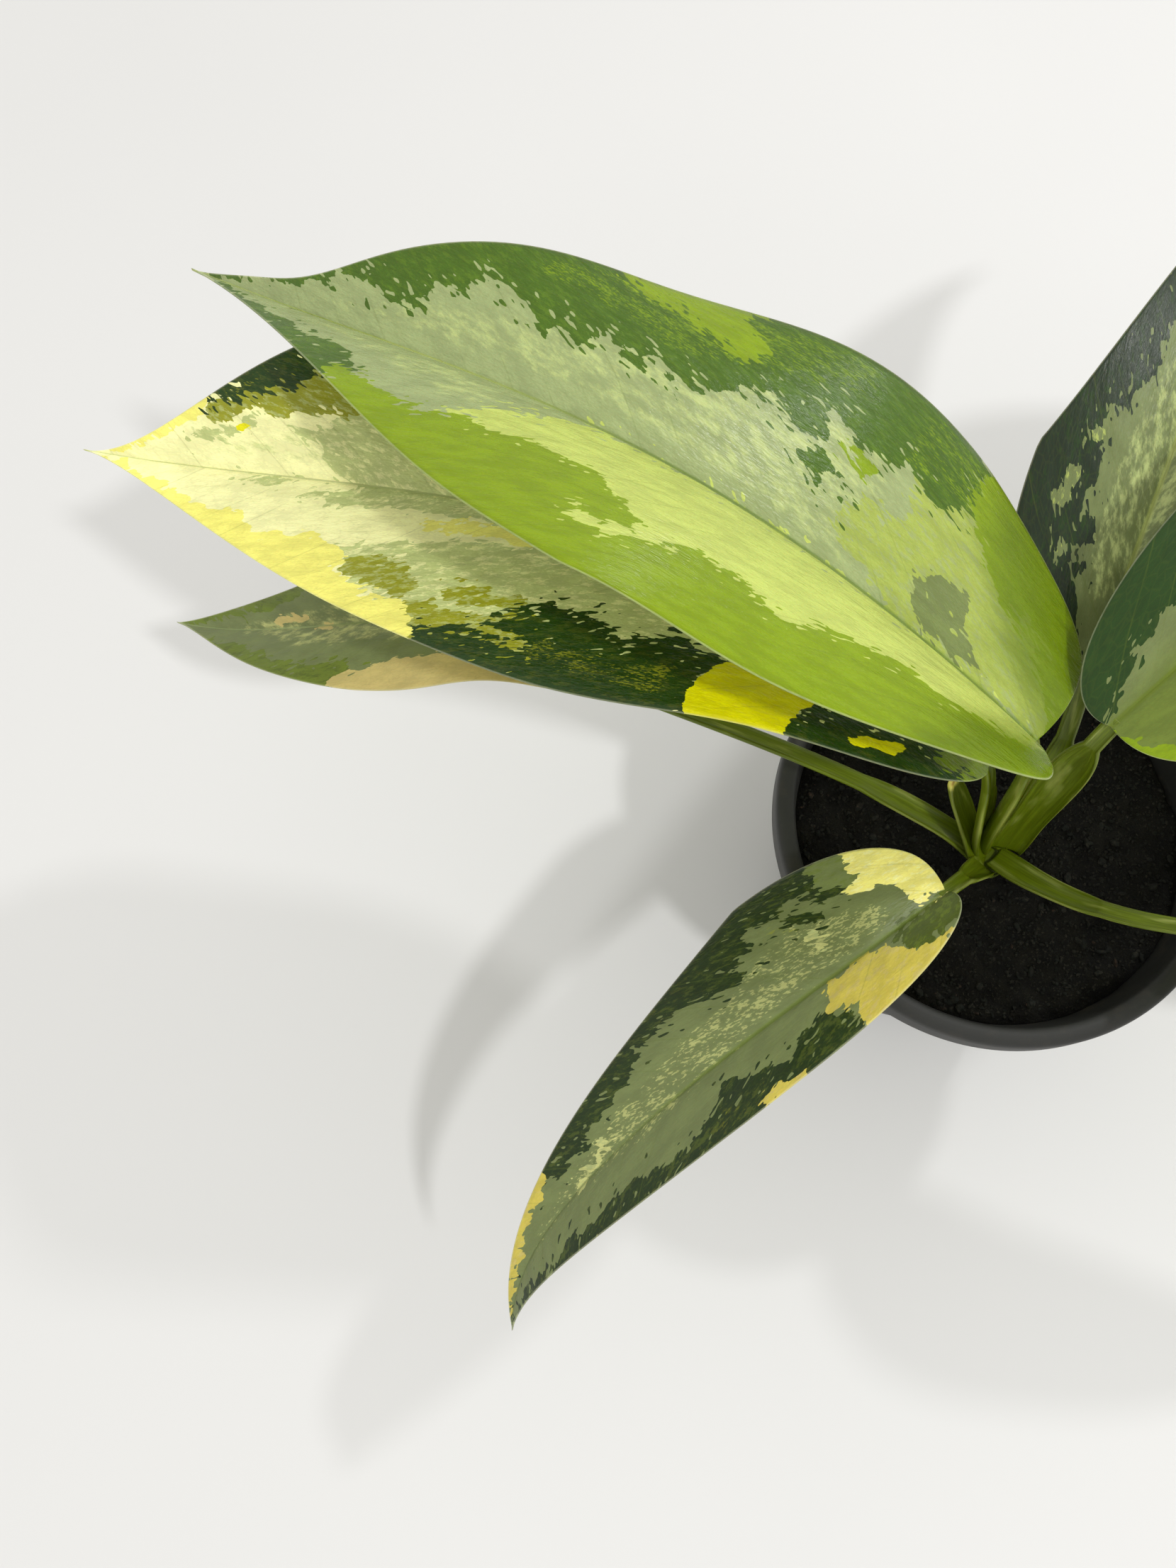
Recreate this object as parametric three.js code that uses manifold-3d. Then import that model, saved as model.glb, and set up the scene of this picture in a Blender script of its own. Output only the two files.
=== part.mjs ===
// A potted aglaonema: seven variegated leaves on one short cane, with the stub of an eighth,
// in a round black nursery pot filled with dark potting mix.
//
// Millimetres, +Z up. The origin is on the surface the pot stands on, under the middle of the pot.
// The blades fan out mostly towards -X, +Y and +X, as heavy leaves lean to the light.

import * as THREE from "three";
import { mergeVertices } from "three/addons/utils/BufferGeometryUtils.js";
import Module from "manifold-3d";

const wasm = await Module();
wasm.setup();

// Driving dimensions

const GAP = 0.3; // clearance between pieces that touch

const POT = {
  height: 125,
  rimRadius: 76, // a six-inch pot
  rimWidth: 7,
  skirt: 11, // how far the rim turns down outside
  wall: 1.6,
  baseRadius: 53,
  foot: 2.4, // how far the floor stands off the table
  footWidth: 4, // of the ring that the pot stands on
  pad: 22, // radius of the flat that it stands on in the middle
  holes: 8,
  holeRadius: 5,
  holeCircle: 35,
  notches: 4, // in the ring, to let water out
  notch: { length: 16, width: 9, height: 1.8 },
  sides: 44,
};
const SOIL = {
  level: 110,
  lump: 1.1,
  mound: { height: 1.5, radius: 26 }, // round the cane
  chunks: { count: 30, smallest: 1.6, largest: 3.4, seed: 11 }, // of bark and grit
  rings: 9,
};
const CANE = { x: -2, y: -11, bottom: 76, top: 122, radius: 6, sides: 16 };
const SCAR = { count: 2, apart: 3, width: 1.6, height: 0.6 }; // where old leaves stood
const BLADE = {
  thickness: 0.9,
  rows: 14,
  columns: [0.36, 0.68, 1], // from the rib to the margin, as shares
  shoulder: 2.2, // how square the base is: 2 is a quarter of an ellipse
  lobeReach: 0.3, // the share of the length over which the lobes draw back
  ribWidth: 2.4,
  ribDepth: 2.4,
};
const PETIOLE = {
  radius: 3.1,
  taper: 0.5,
  channel: 0.4,
  sheathChannel: 2,
  edge: 0.8, // thickness of a wing's edge
  start: 5, // from the middle of the cane
  bend: 9, // how far below the blade it bends into the rib
  neck: 11, // its top, which is one piece with the blade
  into: 1.2, // how far it runs on into the rib
  stations: 12,
};

// The leaves, from the lowest on the cane to the newest, with the stub of one among them. The rib passes
// through four points, from the petiole to the tip. The pairs are for the left and the right half as seen from
// the petiole: the half width, how far the lobe reaches back and where the half is widest as shares of the
// length, how full it is towards the tip and how drawn out the tip is, and how steeply it rises at the rib and
// at the margin, in degrees. Roll turns the blade about its rib at the base and at the tip. The margin waves up
// and down, more towards the edge. The root is where the petiole leaves the cane, a bearing in degrees and a
// height, and the handle steers its curve from there. The sheath is the winged share of the petiole, and wing
// is how far each side stands out. The stub ends at a point of its own with a heading, and has no blade.
const LEAVES = [
  {
    name: "leaf_1", // low, in front, hanging over the rim
    colour: 0x5f7a4a,
    rib: [[-28, -30, 146], [-88, -73, 150], [-141, -117, 128], [-164, -162, 88]],
    half: [22, 37],
    lobe: [0.03, 0.06],
    widest: [0.4, 0.26],
    full: [1.8, 1],
    point: [1.15, 1.2],
    rise: [20, 18],
    margin: [-10, -10],
    roll: [28, 22],
    wave: { height: 3, count: 1, start: 0.8 },
    root: { bearing: 225, height: 118 },
    handle: [-14, -20, 134],
    sheath: { share: 0.5, wing: 1.2 },
  },
  {
    name: "leaf_2", // low, on the right
    colour: 0x8fa35c,
    rib: [[44.5, -42.5, 151], [101, -60.5, 164], [160, -80, 154], [220, -104, 120]],
    half: [33, 34],
    lobe: [0.06, 0.01],
    widest: [0.34, 0.36],
    full: [1.8, 1.8],
    point: [1.3, 1.3],
    rise: [16, 16],
    margin: [-14, -14],
    roll: [0, 6],
    wave: { height: 3, count: 1.6, start: 0.6 },
    root: { bearing: 325, height: 118 },
    handle: [22, -37, 135],
    sheath: { share: 0.4, wing: 0.8 },
  },
  {
    name: "leaf_3", // low, on the left, behind
    colour: 0x7f8f62,
    rib: [[-137, 37, 158.5], [-183, 54.5, 162], [-233, 60, 147], [-286, 73, 124]],
    half: [24, 25],
    lobe: [0.04, 0.05],
    widest: [0.52, 0.36],
    full: [2, 2],
    point: [1.5, 1.2],
    rise: [16, 16],
    margin: [-14, -14],
    roll: [5, 1],
    wave: { height: 3.5, count: 1.7, start: 0 },
    root: { bearing: 165, height: 118 },
    handle: [-42, 9.5, 145.5],
    sheath: { share: 0.3, wing: 1.6 },
  },
  {
    name: "cut_petiole",
    end: [-23, 5, 150],
    heading: [-0.45, 0.3, 0.84],
    root: { bearing: 180, height: 120 },
    handle: [-13, -9, 132],
    sheath: { share: 0.95, wing: 1.9 },
  },
  {
    name: "leaf_4", // broad and yellow, on the left
    colour: 0xd9d66a,
    rib: [[-21, 3, 176], [-112, 54, 204], [-200, 74, 210], [-293, 96, 196]],
    half: [55, 58],
    lobe: [0.02, 0.05],
    widest: [0.42, 0.54],
    full: [2.1, 2.3],
    point: [1.5, 1.9],
    rise: [25, 24],
    margin: [-10, -8],
    roll: [19, -19],
    wave: { height: 3, count: 2.3, start: 0.8 },
    root: { bearing: 140, height: 121 },
    handle: [-15, -9, 146],
    sheath: { share: 0.62, wing: 3 },
  },
  {
    name: "leaf_5", // dark, behind on the right
    colour: 0x66775a,
    rib: [[9, 27, 180], [38, 99, 204], [76, 176, 204], [125, 238, 176]],
    half: [38, 40],
    lobe: [0.06, 0.05],
    widest: [0.26, 0.34],
    full: [0.9, 1.6],
    point: [1.35, 1.3],
    rise: [16, 16],
    margin: [-14, -14],
    roll: [1, 3],
    wave: { height: 2.5, count: 1.6, start: 0.55 },
    root: { bearing: 70, height: 120 },
    handle: [11, 4, 150],
    sheath: { share: 0.55, wing: 2.2 },
  },
  {
    name: "leaf_6", // high, on the right
    colour: 0x4f7a3c,
    rib: [[5, 4, 201], [70, 54, 229], [146, 100, 230], [226, 136, 200]],
    half: [38, 40],
    lobe: [0.04, 0.02],
    widest: [0.42, 0.3],
    full: [2, 2],
    point: [1.3, 1.3],
    rise: [16, 16],
    margin: [-14, -14],
    roll: [5, 0],
    wave: { height: 2.8, count: 1.6, start: 0.25 },
    root: { bearing: 30, height: 122 },
    handle: [2, -3, 159],
    sheath: { share: 0.72, wing: 5 },
  },
  {
    name: "leaf_7", // the highest and newest, broad and lime green, on the left
    colour: 0xa7c457,
    rib: [[-17, -1, 203], [-105, 54, 238], [-178, 89, 246], [-254, 135, 228]],
    half: [60, 59],
    lobe: [0.06, 0.03],
    widest: [0.43, 0.17],
    full: [1.35, 2.55],
    point: [1.42, 1.58],
    rise: [32, 28],
    margin: [-10, -4],
    roll: [22, 0],
    wave: { height: 6.4, count: 1.9, start: 0.43 },
    root: { bearing: 110, height: 123 },
    handle: [-12, -7, 160],
    sheath: { share: 0.62, wing: 3.4 },
  },
];

// Helpers

const radians = (degrees) => (degrees * Math.PI) / 180;
const vector = (p) => new THREE.Vector3(...p);
const UP = new THREE.Vector3(0, 0, 1);

// A closed mesh from points and triangles, as a solid that can be joined and cut
function solid(points, triangles) {
  return new wasm.Manifold(
    new wasm.Mesh({
      numProp: 3,
      vertProperties: new Float32Array(points.flatMap((p) => [p.x, p.y, p.z])),
      triVerts: new Uint32Array(triangles.flat()),
    }),
  );
}

// The largest piece of a cut solid, without the shards
function whole(made) {
  return made.decompose().sort((a, b) => b.volume() - a.volume())[0];
}

// A solid from a three.js geometry
function solidOf(geometry) {
  const bare = geometry.index ? geometry.toNonIndexed() : geometry.clone();
  bare.deleteAttribute("normal");
  bare.deleteAttribute("uv");
  const merged = mergeVertices(bare, 1e-3);
  return new wasm.Manifold(
    new wasm.Mesh({
      numProp: 3,
      vertProperties: merged.attributes.position.array,
      triVerts: new Uint32Array(merged.index.array),
    }),
  );
}

function geometryOf(made) {
  const mesh = made.getMesh();
  const geometry = new THREE.BufferGeometry();
  geometry.setAttribute("position", new THREE.BufferAttribute(mesh.vertProperties, 3));
  geometry.setIndex(new THREE.BufferAttribute(mesh.triVerts, 1));
  geometry.computeVertexNormals();
  return geometry;
}

// A repeatable stream of numbers from 0 to 1
function stream(seed) {
  let state = seed;
  return () => {
    state = (state * 1664525 + 1013904223) % 4294967296;
    return state / 4294967296;
  };
}

// A smooth curve through four points
function curveThrough(points) {
  const [a, b, c, d] = points.map(vector);
  const handle = (near, first, second, far) =>
    new THREE.Vector3()
      .addScaledVector(near, -5 / 6)
      .addScaledVector(first, 3)
      .addScaledVector(second, -1.5)
      .addScaledVector(far, 1 / 3);
  return new THREE.CubicBezierCurve3(a, handle(a, b, c, d), handle(d, c, b, a), d);
}

// Joins rings of points, each with as many points as the next, into one closed solid
function loft(rings) {
  const n = rings[0].length;
  const last = rings.length - 1;
  const points = rings.flat();
  const triangles = [];
  for (let i = 0; i < last; i++)
    for (let j = 0; j < n; j++) {
      const a = i * n + j;
      const b = i * n + ((j + 1) % n);
      triangles.push([a, b, b + n], [a, b + n, a + n]);
    }
  for (const [ring, turned] of [[0, true], [last, false]]) {
    const centre = points.length;
    const middle = new THREE.Vector3();
    rings[ring].forEach((p) => middle.addScaledVector(p, 1 / n));
    points.push(middle);
    for (let j = 0; j < n; j++) {
      const a = ring * n + j;
      const b = ring * n + ((j + 1) % n);
      triangles.push(turned ? [centre, b, a] : [centre, a, b]);
    }
  }
  return solid(points, triangles);
}

// The pot and its soil

function potProfile() {
  const { height, rimRadius, rimWidth, skirt, wall, baseRadius, foot, footWidth, pad } = POT;
  const inside = rimRadius - rimWidth;
  const floor = foot + wall;
  const corner = baseRadius - wall;
  return [
    [0, floor],
    [corner - 4, floor],
    [corner - 1, floor + 1.2],
    [corner, floor + 4],
    [inside, height - 3],
    [inside + 0.8, height - 0.8],
    [inside + 2.6, height],
    [rimRadius - 2, height],
    [rimRadius - 0.5, height - 0.6],
    [rimRadius, height - 2.2],
    [rimRadius, height - skirt],
    [rimRadius - 1.8, height - skirt],
    [rimRadius - 2, height - 3],
    [inside + wall + 0.3, height - 3],
    [baseRadius, foot + 5],
    [baseRadius - 1, 0.8],
    [baseRadius - 1.8, 0],
    [baseRadius - footWidth, 0],
    [baseRadius - footWidth - 0.8, foot],
    [pad + 0.8, foot],
    [pad, 0],
    [0, 0],
  ].map(([r, z]) => new THREE.Vector2(r, z));
}

// Turns a profile about +Z; the lathe itself turns it about +Y
function turned(profile, sides) {
  return new THREE.LatheGeometry(profile, sides).rotateX(Math.PI / 2);
}

function cylinder(radius, low, high, x, y, sides = 12) {
  const geometry = new THREE.CylinderGeometry(radius, radius, high - low, sides);
  geometry.rotateX(Math.PI / 2).translate(x, y, (low + high) / 2);
  return solidOf(geometry);
}

function pot() {
  let made = solidOf(turned(potProfile().reverse(), POT.sides));
  const through = POT.foot + POT.wall + 1;
  for (let i = 0; i < POT.holes; i++) {
    const turn = (i / POT.holes) * 2 * Math.PI;
    const x = POT.holeCircle * Math.cos(turn);
    const y = POT.holeCircle * Math.sin(turn);
    made = made.subtract(cylinder(POT.holeRadius, -1, through, x, y));
  }
  for (let i = 0; i < POT.notches; i++) {
    const { length, width, height } = POT.notch;
    const notch = new THREE.BoxGeometry(length, width, 2 * height);
    notch.translate(POT.baseRadius, 0, 0);
    notch.rotateZ(((i + 0.5) / POT.notches) * 2 * Math.PI);
    made = made.subtract(solidOf(notch));
  }
  return made;
}

// How high the soil stands: uneven, with a low mound round the cane
function soilHeight(x, y) {
  const away = Math.hypot(x - CANE.x, y - CANE.y);
  const mound = SOIL.mound.height * Math.exp(-((away / SOIL.mound.radius) ** 2));
  const coarse = Math.sin(x * 0.19 + 1.3) * Math.cos(y * 0.23 - 0.4);
  const fine = Math.sin(x * 0.29 - y * 0.21) * Math.cos(y * 0.33 + x * 0.13);
  return SOIL.level + mound + SOIL.lump * (coarse + 0.7 * fine);
}

function soil() {
  const { rimRadius, rimWidth, wall, baseRadius, foot, height, sides } = POT;
  const { rings, chunks } = SOIL;
  // The side runs clear of the pot's wall, which slopes out from a corner above the floor
  const floor = foot + wall;
  const corner = { r: baseRadius - wall - GAP - 0.05, z: floor + 4 };
  const slope = (rimRadius - rimWidth - (baseRadius - wall)) / (height - 3 - corner.z);
  const reach = (z) => corner.r + slope * (z - corner.z);
  const outer = reach(SOIL.level);
  const points = [new THREE.Vector3(0, 0, soilHeight(0, 0))];
  const triangles = [];
  const at = (ring, j) => 1 + (ring - 1) * sides + (j % sides);
  for (let ring = 1; ring <= rings; ring++)
    for (let j = 0; j < sides; j++) {
      const turn = (j / sides) * 2 * Math.PI;
      const r = (outer * ring) / rings;
      const [x, y] = [r * Math.cos(turn), r * Math.sin(turn)];
      const z = soilHeight(x, y);
      const low = z - 2; // it falls away at the wall
      const edge = reach(low) / outer;
      if (ring < rings) points.push(new THREE.Vector3(x, y, z));
      else points.push(new THREE.Vector3(x * edge, y * edge, low));
    }
  for (let j = 0; j < sides; j++) triangles.push([0, at(1, j), at(1, j + 1)]);
  const quad = (a, b, c, d) => triangles.push([a, b, c], [a, c, d]);
  for (let ring = 1; ring < rings; ring++)
    for (let j = 0; j < sides; j++)
      quad(at(ring, j), at(ring + 1, j), at(ring + 1, j + 1), at(ring, j + 1));
  const bottom = floor + GAP;
  const skirt = [
    [corner.r, corner.z],
    [corner.r - 5, bottom],
  ];
  skirt.forEach(([r, z], k) => {
    for (let j = 0; j < sides; j++) {
      const turn = (j / sides) * 2 * Math.PI;
      points.push(new THREE.Vector3(r * Math.cos(turn), r * Math.sin(turn), z));
    }
    for (let j = 0; j < sides; j++)
      quad(at(rings + k, j), at(rings + k + 1, j), at(rings + k + 1, j + 1), at(rings + k, j + 1));
  });
  const centre = points.length;
  points.push(new THREE.Vector3(0, 0, bottom));
  for (let j = 0; j < sides; j++)
    triangles.push([centre, at(rings + 2, j + 1), at(rings + 2, j)]);
  let made = solid(points, triangles);
  // The chunks lie half sunk, clear of the cane and of the wall
  const draw = stream(chunks.seed);
  for (let i = 0; i < chunks.count; i++) {
    const r = 20 + (outer - 26) * Math.sqrt(draw());
    const turn = 2 * Math.PI * draw();
    const size = chunks.smallest + (chunks.largest - chunks.smallest) * draw();
    const [x, y] = [r * Math.cos(turn), r * Math.sin(turn)];
    const chunk = new THREE.OctahedronGeometry(size).scale(1, 0.75, 0.6).rotateZ(3 * draw());
    chunk.rotateX(draw() - 0.5).translate(x, y, soilHeight(x, y) - 0.2);
    made = made.add(solidOf(chunk));
  }
  return made.subtract(cane(GAP));
}

// The cane, plain where it is buried, and with the rings of old leaves above the soil
function cane(grow = 0) {
  const { bottom, top, sides } = CANE;
  const radius = CANE.radius + grow;
  const profile = [[0, bottom - grow], [radius, bottom - grow]];
  for (let i = 0; i < SCAR.count; i++) {
    const z = SOIL.level + SOIL.mound.height + SCAR.width + i * SCAR.apart;
    profile.push([radius, z], [radius + SCAR.height, z + SCAR.width / 2], [radius, z + SCAR.width]);
  }
  profile.push([radius, top - 1.5], [radius * 0.7, top], [0, top + grow]);
  const points = profile.map(([r, z]) => new THREE.Vector2(r, z));
  return solidOf(turned(points, sides).translate(CANE.x, CANE.y, 0));
}

// Leaves

// The margin of one half of a blade at a share u of the length: its place along the rib and its distance from
// it, both as shares. Round at the lobe, widest in the lower half, and drawn out to a point
function outline(leaf, side, u) {
  const { shoulder, lobeReach } = BLADE;
  const widest = leaf.widest[side];
  let wide;
  if (u < widest) wide = Math.sqrt(1 - (1 - u / widest) ** shoulder);
  else wide = (1 - ((u - widest) / (1 - widest)) ** leaf.full[side]) ** leaf.point[side];
  const back = 1.6 * leaf.lobe[side] * Math.max(0, 1 - u / lobeReach) ** 2 * wide;
  return [u - back, wide];
}

// The frame of a blade at a share u of its length: the rib's place, its left and its upper side
function bladeFrame(leaf, curve, u) {
  const inside = Math.min(1, Math.max(0, u));
  const tangent = curve.getTangent(inside);
  const place = curve.getPoint(inside).addScaledVector(tangent, (u - inside) * leaf.length);
  const left = new THREE.Vector3().crossVectors(UP, tangent).normalize();
  const roll = radians(leaf.roll[0] + (leaf.roll[1] - leaf.roll[0]) * inside);
  left.applyAxisAngle(tangent, roll);
  const upper = new THREE.Vector3().crossVectors(tangent, left);
  return { place, left, upper };
}

// A point of the blade: at a share u of its length, y mm to the left of the rib and off mm above its middle
function bladePoint(leaf, curve, u, y, off = 0) {
  const side = y >= 0 ? 0 : 1;
  const { place, left, upper } = bladeFrame(leaf, curve, u);
  const half = leaf.half[side];
  const rise = radians(leaf.rise[side]);
  const bend = radians(leaf.margin[side]) - rise;
  const away = Math.abs(y) / half;
  const angle = rise + bend * away;
  const across = (half / bend) * (Math.sin(angle) - Math.sin(rise));
  const { height, count, start } = leaf.wave;
  const wave = height * away * away * Math.sin(2 * Math.PI * (count * u + start + 0.37 * side));
  const up = (half / bend) * (Math.cos(rise) - Math.cos(angle)) + wave;
  const sign = side ? -1 : 1;
  return place
    .addScaledVector(left, sign * across - sign * off * Math.sin(angle))
    .addScaledVector(upper, up + off * Math.cos(angle));
}

// The blade: a thin sheet with a rib along its underside, and its triangles split alike on both faces
function sheet(leaf, curve) {
  const { rows, columns, thickness, ribWidth, ribDepth } = BLADE;
  const besideRib = 0.1; // marks the columns that bound the rib, whose share varies
  const across = [...columns.map((c) => -c).reverse(), -besideRib, 0, besideRib, ...columns];
  const n = across.length;
  const places = [];
  const add = (u, y, onRib) => {
    const deep = onRib ? ribDepth * (1 - u) ** 0.7 : 0;
    places.push({ u, y, deep });
    return places.length - 1;
  };
  const base = add(0, 0, true);
  const grid = [];
  for (let i = 1; i < rows; i++) {
    const u = (1 - Math.cos(Math.PI * (i / rows) ** 1.3)) / 2;
    grid.push(
      across.map((s) => {
        const side = s >= 0 ? 0 : 1;
        const [edge, wide] = outline(leaf, side, u);
        const reach = wide * leaf.half[side];
        const ribShare = Math.min(0.3, (ribWidth * (1 - 0.8 * u)) / reach);
        const share = Math.abs(s) === besideRib ? ribShare : Math.abs(s);
        return add(u + (edge - u) * share, Math.sign(s) * share * reach, s === 0);
      }),
    );
  }
  const tip = add(1, 0, false);
  const faces = [];
  for (let j = 0; j < n - 1; j++) faces.push([base, grid[0][j], grid[0][j + 1]]);
  for (let i = 0; i < grid.length - 1; i++)
    for (let j = 0; j < n - 1; j++) {
      const [a, b, c, d] = [grid[i][j], grid[i][j + 1], grid[i + 1][j + 1], grid[i + 1][j]];
      if (j < n / 2 - 1) faces.push([a, c, b], [a, d, c]);
      else faces.push([a, d, b], [b, d, c]);
    }
  const end = grid[grid.length - 1];
  for (let j = 0; j < n - 1; j++) faces.push([tip, end[j + 1], end[j]]);
  const margin = [base, ...grid.map((row) => row[0]), tip, ...grid.map((row) => row[n - 1]).reverse()];
  const count = places.length;
  const upper = places.map(({ u, y }) => bladePoint(leaf, curve, u, y, thickness / 2));
  const under = places.map(({ u, y, deep }) => bladePoint(leaf, curve, u, y, -thickness / 2 - deep));
  const triangles = faces.flatMap(([a, b, c]) => [[a, b, c], [a + count, c + count, b + count]]);
  margin.forEach((a, i) => {
    const b = margin[(i + 1) % margin.length];
    triangles.push([a, a + count, b + count], [a, b + count, b]);
  });
  return solid([...upper, ...under], triangles);
}

// The petiole's curve, from the cane up to the base of the blade, where it bends into the rib
function petioleCurve({ root, handle }, end, heading) {
  const bearing = radians(root.bearing);
  const from = new THREE.Vector3(CANE.x, CANE.y, root.height);
  from.x += PETIOLE.start * Math.cos(bearing);
  from.y += PETIOLE.start * Math.sin(bearing);
  const bend = end.clone().addScaledVector(heading, -PETIOLE.bend);
  return new THREE.CubicBezierCurve3(from, vector(handle), bend, end);
}

// One ring of the petiole: a half round back, and an inner side with a channel between the two edges
function petioleRing({ place, left, upper, width, depth, channel, grow }) {
  const back = 6;
  const front = 4;
  const ring = [];
  for (let j = 0; j <= back; j++) {
    const turn = (Math.PI * j) / back;
    ring.push([(width + grow) * Math.cos(turn), -(depth + grow) * Math.sin(turn)]);
  }
  for (let j = 0; j <= front; j++) {
    const turn = Math.PI * (1 - j / front);
    const narrow = width - PETIOLE.edge + grow;
    ring.push([narrow * Math.cos(turn), PETIOLE.edge + grow - channel * Math.sin(turn)]);
  }
  return ring.map(([a, b]) => place.clone().addScaledVector(left, -a).addScaledVector(upper, b));
}

// The petiole between two shares of its length. In the sheath its edges stand out as wings, which widen
// upwards and end short
function petiole(leaf, { curve, outward, across }, from, to, grow = 0) {
  const rings = [];
  const stations = Math.max(2, Math.round(PETIOLE.stations * (to - from)));
  const start = new THREE.Vector3().crossVectors(UP, outward);
  for (let i = 0; i <= stations; i++) {
    const s = from + ((to - from) * i) / stations;
    const tangent = curve.getTangent(s);
    const left = start.clone().lerp(across, s);
    left.addScaledVector(tangent, -left.dot(tangent)).normalize();
    const upper = new THREE.Vector3().crossVectors(tangent, left);
    const along = Math.min(1, s / leaf.sheath.share);
    const winged = (0.3 + 0.7 * along) * (1 - along ** 6);
    rings.push(
      petioleRing({
        place: curve.getPoint(s),
        left,
        upper,
        width: PETIOLE.radius + leaf.sheath.wing * winged - PETIOLE.taper * s,
        depth: PETIOLE.radius - PETIOLE.taper * s,
        channel: PETIOLE.channel + PETIOLE.sheathChannel * winged,
        grow,
      }),
    );
  }
  return loft(rings);
}

// A petiole's curve with the directions that its rings follow
function stalk(leaf, end, heading, across) {
  const curve = petioleCurve(leaf, end, heading);
  const outward = end.clone().sub(curve.v0).setZ(0).normalize();
  return { curve, outward, across: across ?? new THREE.Vector3().crossVectors(UP, outward) };
}

// Scene

const plant = new THREE.Group();
const material = (color, roughness) => new THREE.MeshStandardMaterial({ color, roughness, metalness: 0 });
function add(name, made, surface) {
  const mesh = new THREE.Mesh(geometryOf(made), surface);
  mesh.name = name;
  plant.add(mesh);
}

const stemGreen = 0x5c7a2c;
add("pot", pot(), material(0x35373a, 0.55));
add("soil", soil(), material(0x1d1812, 0.95));
add("cane", cane(), material(0x55662f, 0.6));

// The newest petiole stands next to the cane, and each older one clasps those within it
let within = cane(GAP);
function clasp(made, grown) {
  const cut = whole(made.subtract(within));
  within = within.add(grown);
  return cut;
}

function addLeaf(leaf) {
  const curve = curveThrough(leaf.rib);
  leaf.length = curve.getLength();
  const heading = curve.getTangent(0);
  const end = curve.getPoint(0).addScaledVector(heading, PETIOLE.into);
  const stem = stalk(leaf, end, heading, bladeFrame(leaf, curve, 0).left);
  const seam = 1 - PETIOLE.neck / stem.curve.getLength();
  const gap = GAP / stem.curve.getLength();
  const blade = whole(sheet(leaf, curve).add(petiole(leaf, stem, seam, 1)));
  const lower = clasp(petiole(leaf, stem, 0, seam - gap), petiole(leaf, stem, 0, 1, GAP));
  add(`${leaf.name}_blade`, blade, material(leaf.colour, 0.42));
  add(`${leaf.name}_petiole`, lower, material(stemGreen, 0.5));
}

function addStub(leaf) {
  const stem = stalk(leaf, vector(leaf.end), vector(leaf.heading).normalize());
  const made = clasp(petiole(leaf, stem, 0, 1), petiole(leaf, stem, 0, 1, GAP));
  add(leaf.name, made, material(stemGreen, 0.5));
}

for (const leaf of [...LEAVES].reverse()) {
  if (leaf.rib) addLeaf(leaf);
  else addStub(leaf);
}

export default plant;
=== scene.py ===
import math
import random

import bpy
import numpy as np
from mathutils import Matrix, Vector, noise


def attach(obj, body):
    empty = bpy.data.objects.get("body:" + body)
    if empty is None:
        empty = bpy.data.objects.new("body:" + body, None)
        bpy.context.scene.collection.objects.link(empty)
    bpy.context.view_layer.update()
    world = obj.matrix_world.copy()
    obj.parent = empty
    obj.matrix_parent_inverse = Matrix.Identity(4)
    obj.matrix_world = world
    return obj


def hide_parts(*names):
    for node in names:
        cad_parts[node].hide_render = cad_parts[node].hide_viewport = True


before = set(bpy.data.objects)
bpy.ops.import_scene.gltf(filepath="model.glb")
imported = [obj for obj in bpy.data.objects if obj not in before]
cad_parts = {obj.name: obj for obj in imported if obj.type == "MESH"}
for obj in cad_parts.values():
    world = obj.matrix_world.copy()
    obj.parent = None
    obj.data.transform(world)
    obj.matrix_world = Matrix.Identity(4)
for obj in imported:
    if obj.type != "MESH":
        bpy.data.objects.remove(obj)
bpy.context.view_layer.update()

# Sizes and places are in millimetres until a mesh is made
MM = 0.001
UP = np.array([0.0, 0.0, 1.0])

# The camera looks steeply down on the pot and the front leaves

CAMERA = {"place": (-139.5, -111.5, 505.2), "tilt": 18.0, "lens": 27.0, "sensor": 36.0, "near": 10}


def make_camera():
    data = bpy.data.cameras.new("camera")
    data.lens = CAMERA["lens"]
    data.sensor_width = CAMERA["sensor"]
    data.clip_start = CAMERA["near"] * MM
    camera = bpy.data.objects.new("camera", data)
    camera.location = Vector(CAMERA["place"]) * MM
    camera.rotation_euler = (math.radians(CAMERA["tilt"]), 0, 0)
    bpy.context.collection.objects.link(camera)
    bpy.context.scene.camera = camera


make_camera()

# Leaves, in mm and degrees. A pair is for the left and the right half, except in roll, root and sheath.
# rib: four points that it passes. half: the widths. widest: where they are, by the length. lobe: how far the
# base reaches back. full, point: how the outline narrows towards the tip. rise, margin: the slope beside the
# rib and at the margin. roll: at the base and the tip. wave: height, number and start. root: the petiole's
# bearing and height on the cane. handle: the point that it first heads for. sheath: the share of the petiole
# that it covers, and its width. nipped: the half with a nip near the tip.

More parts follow.
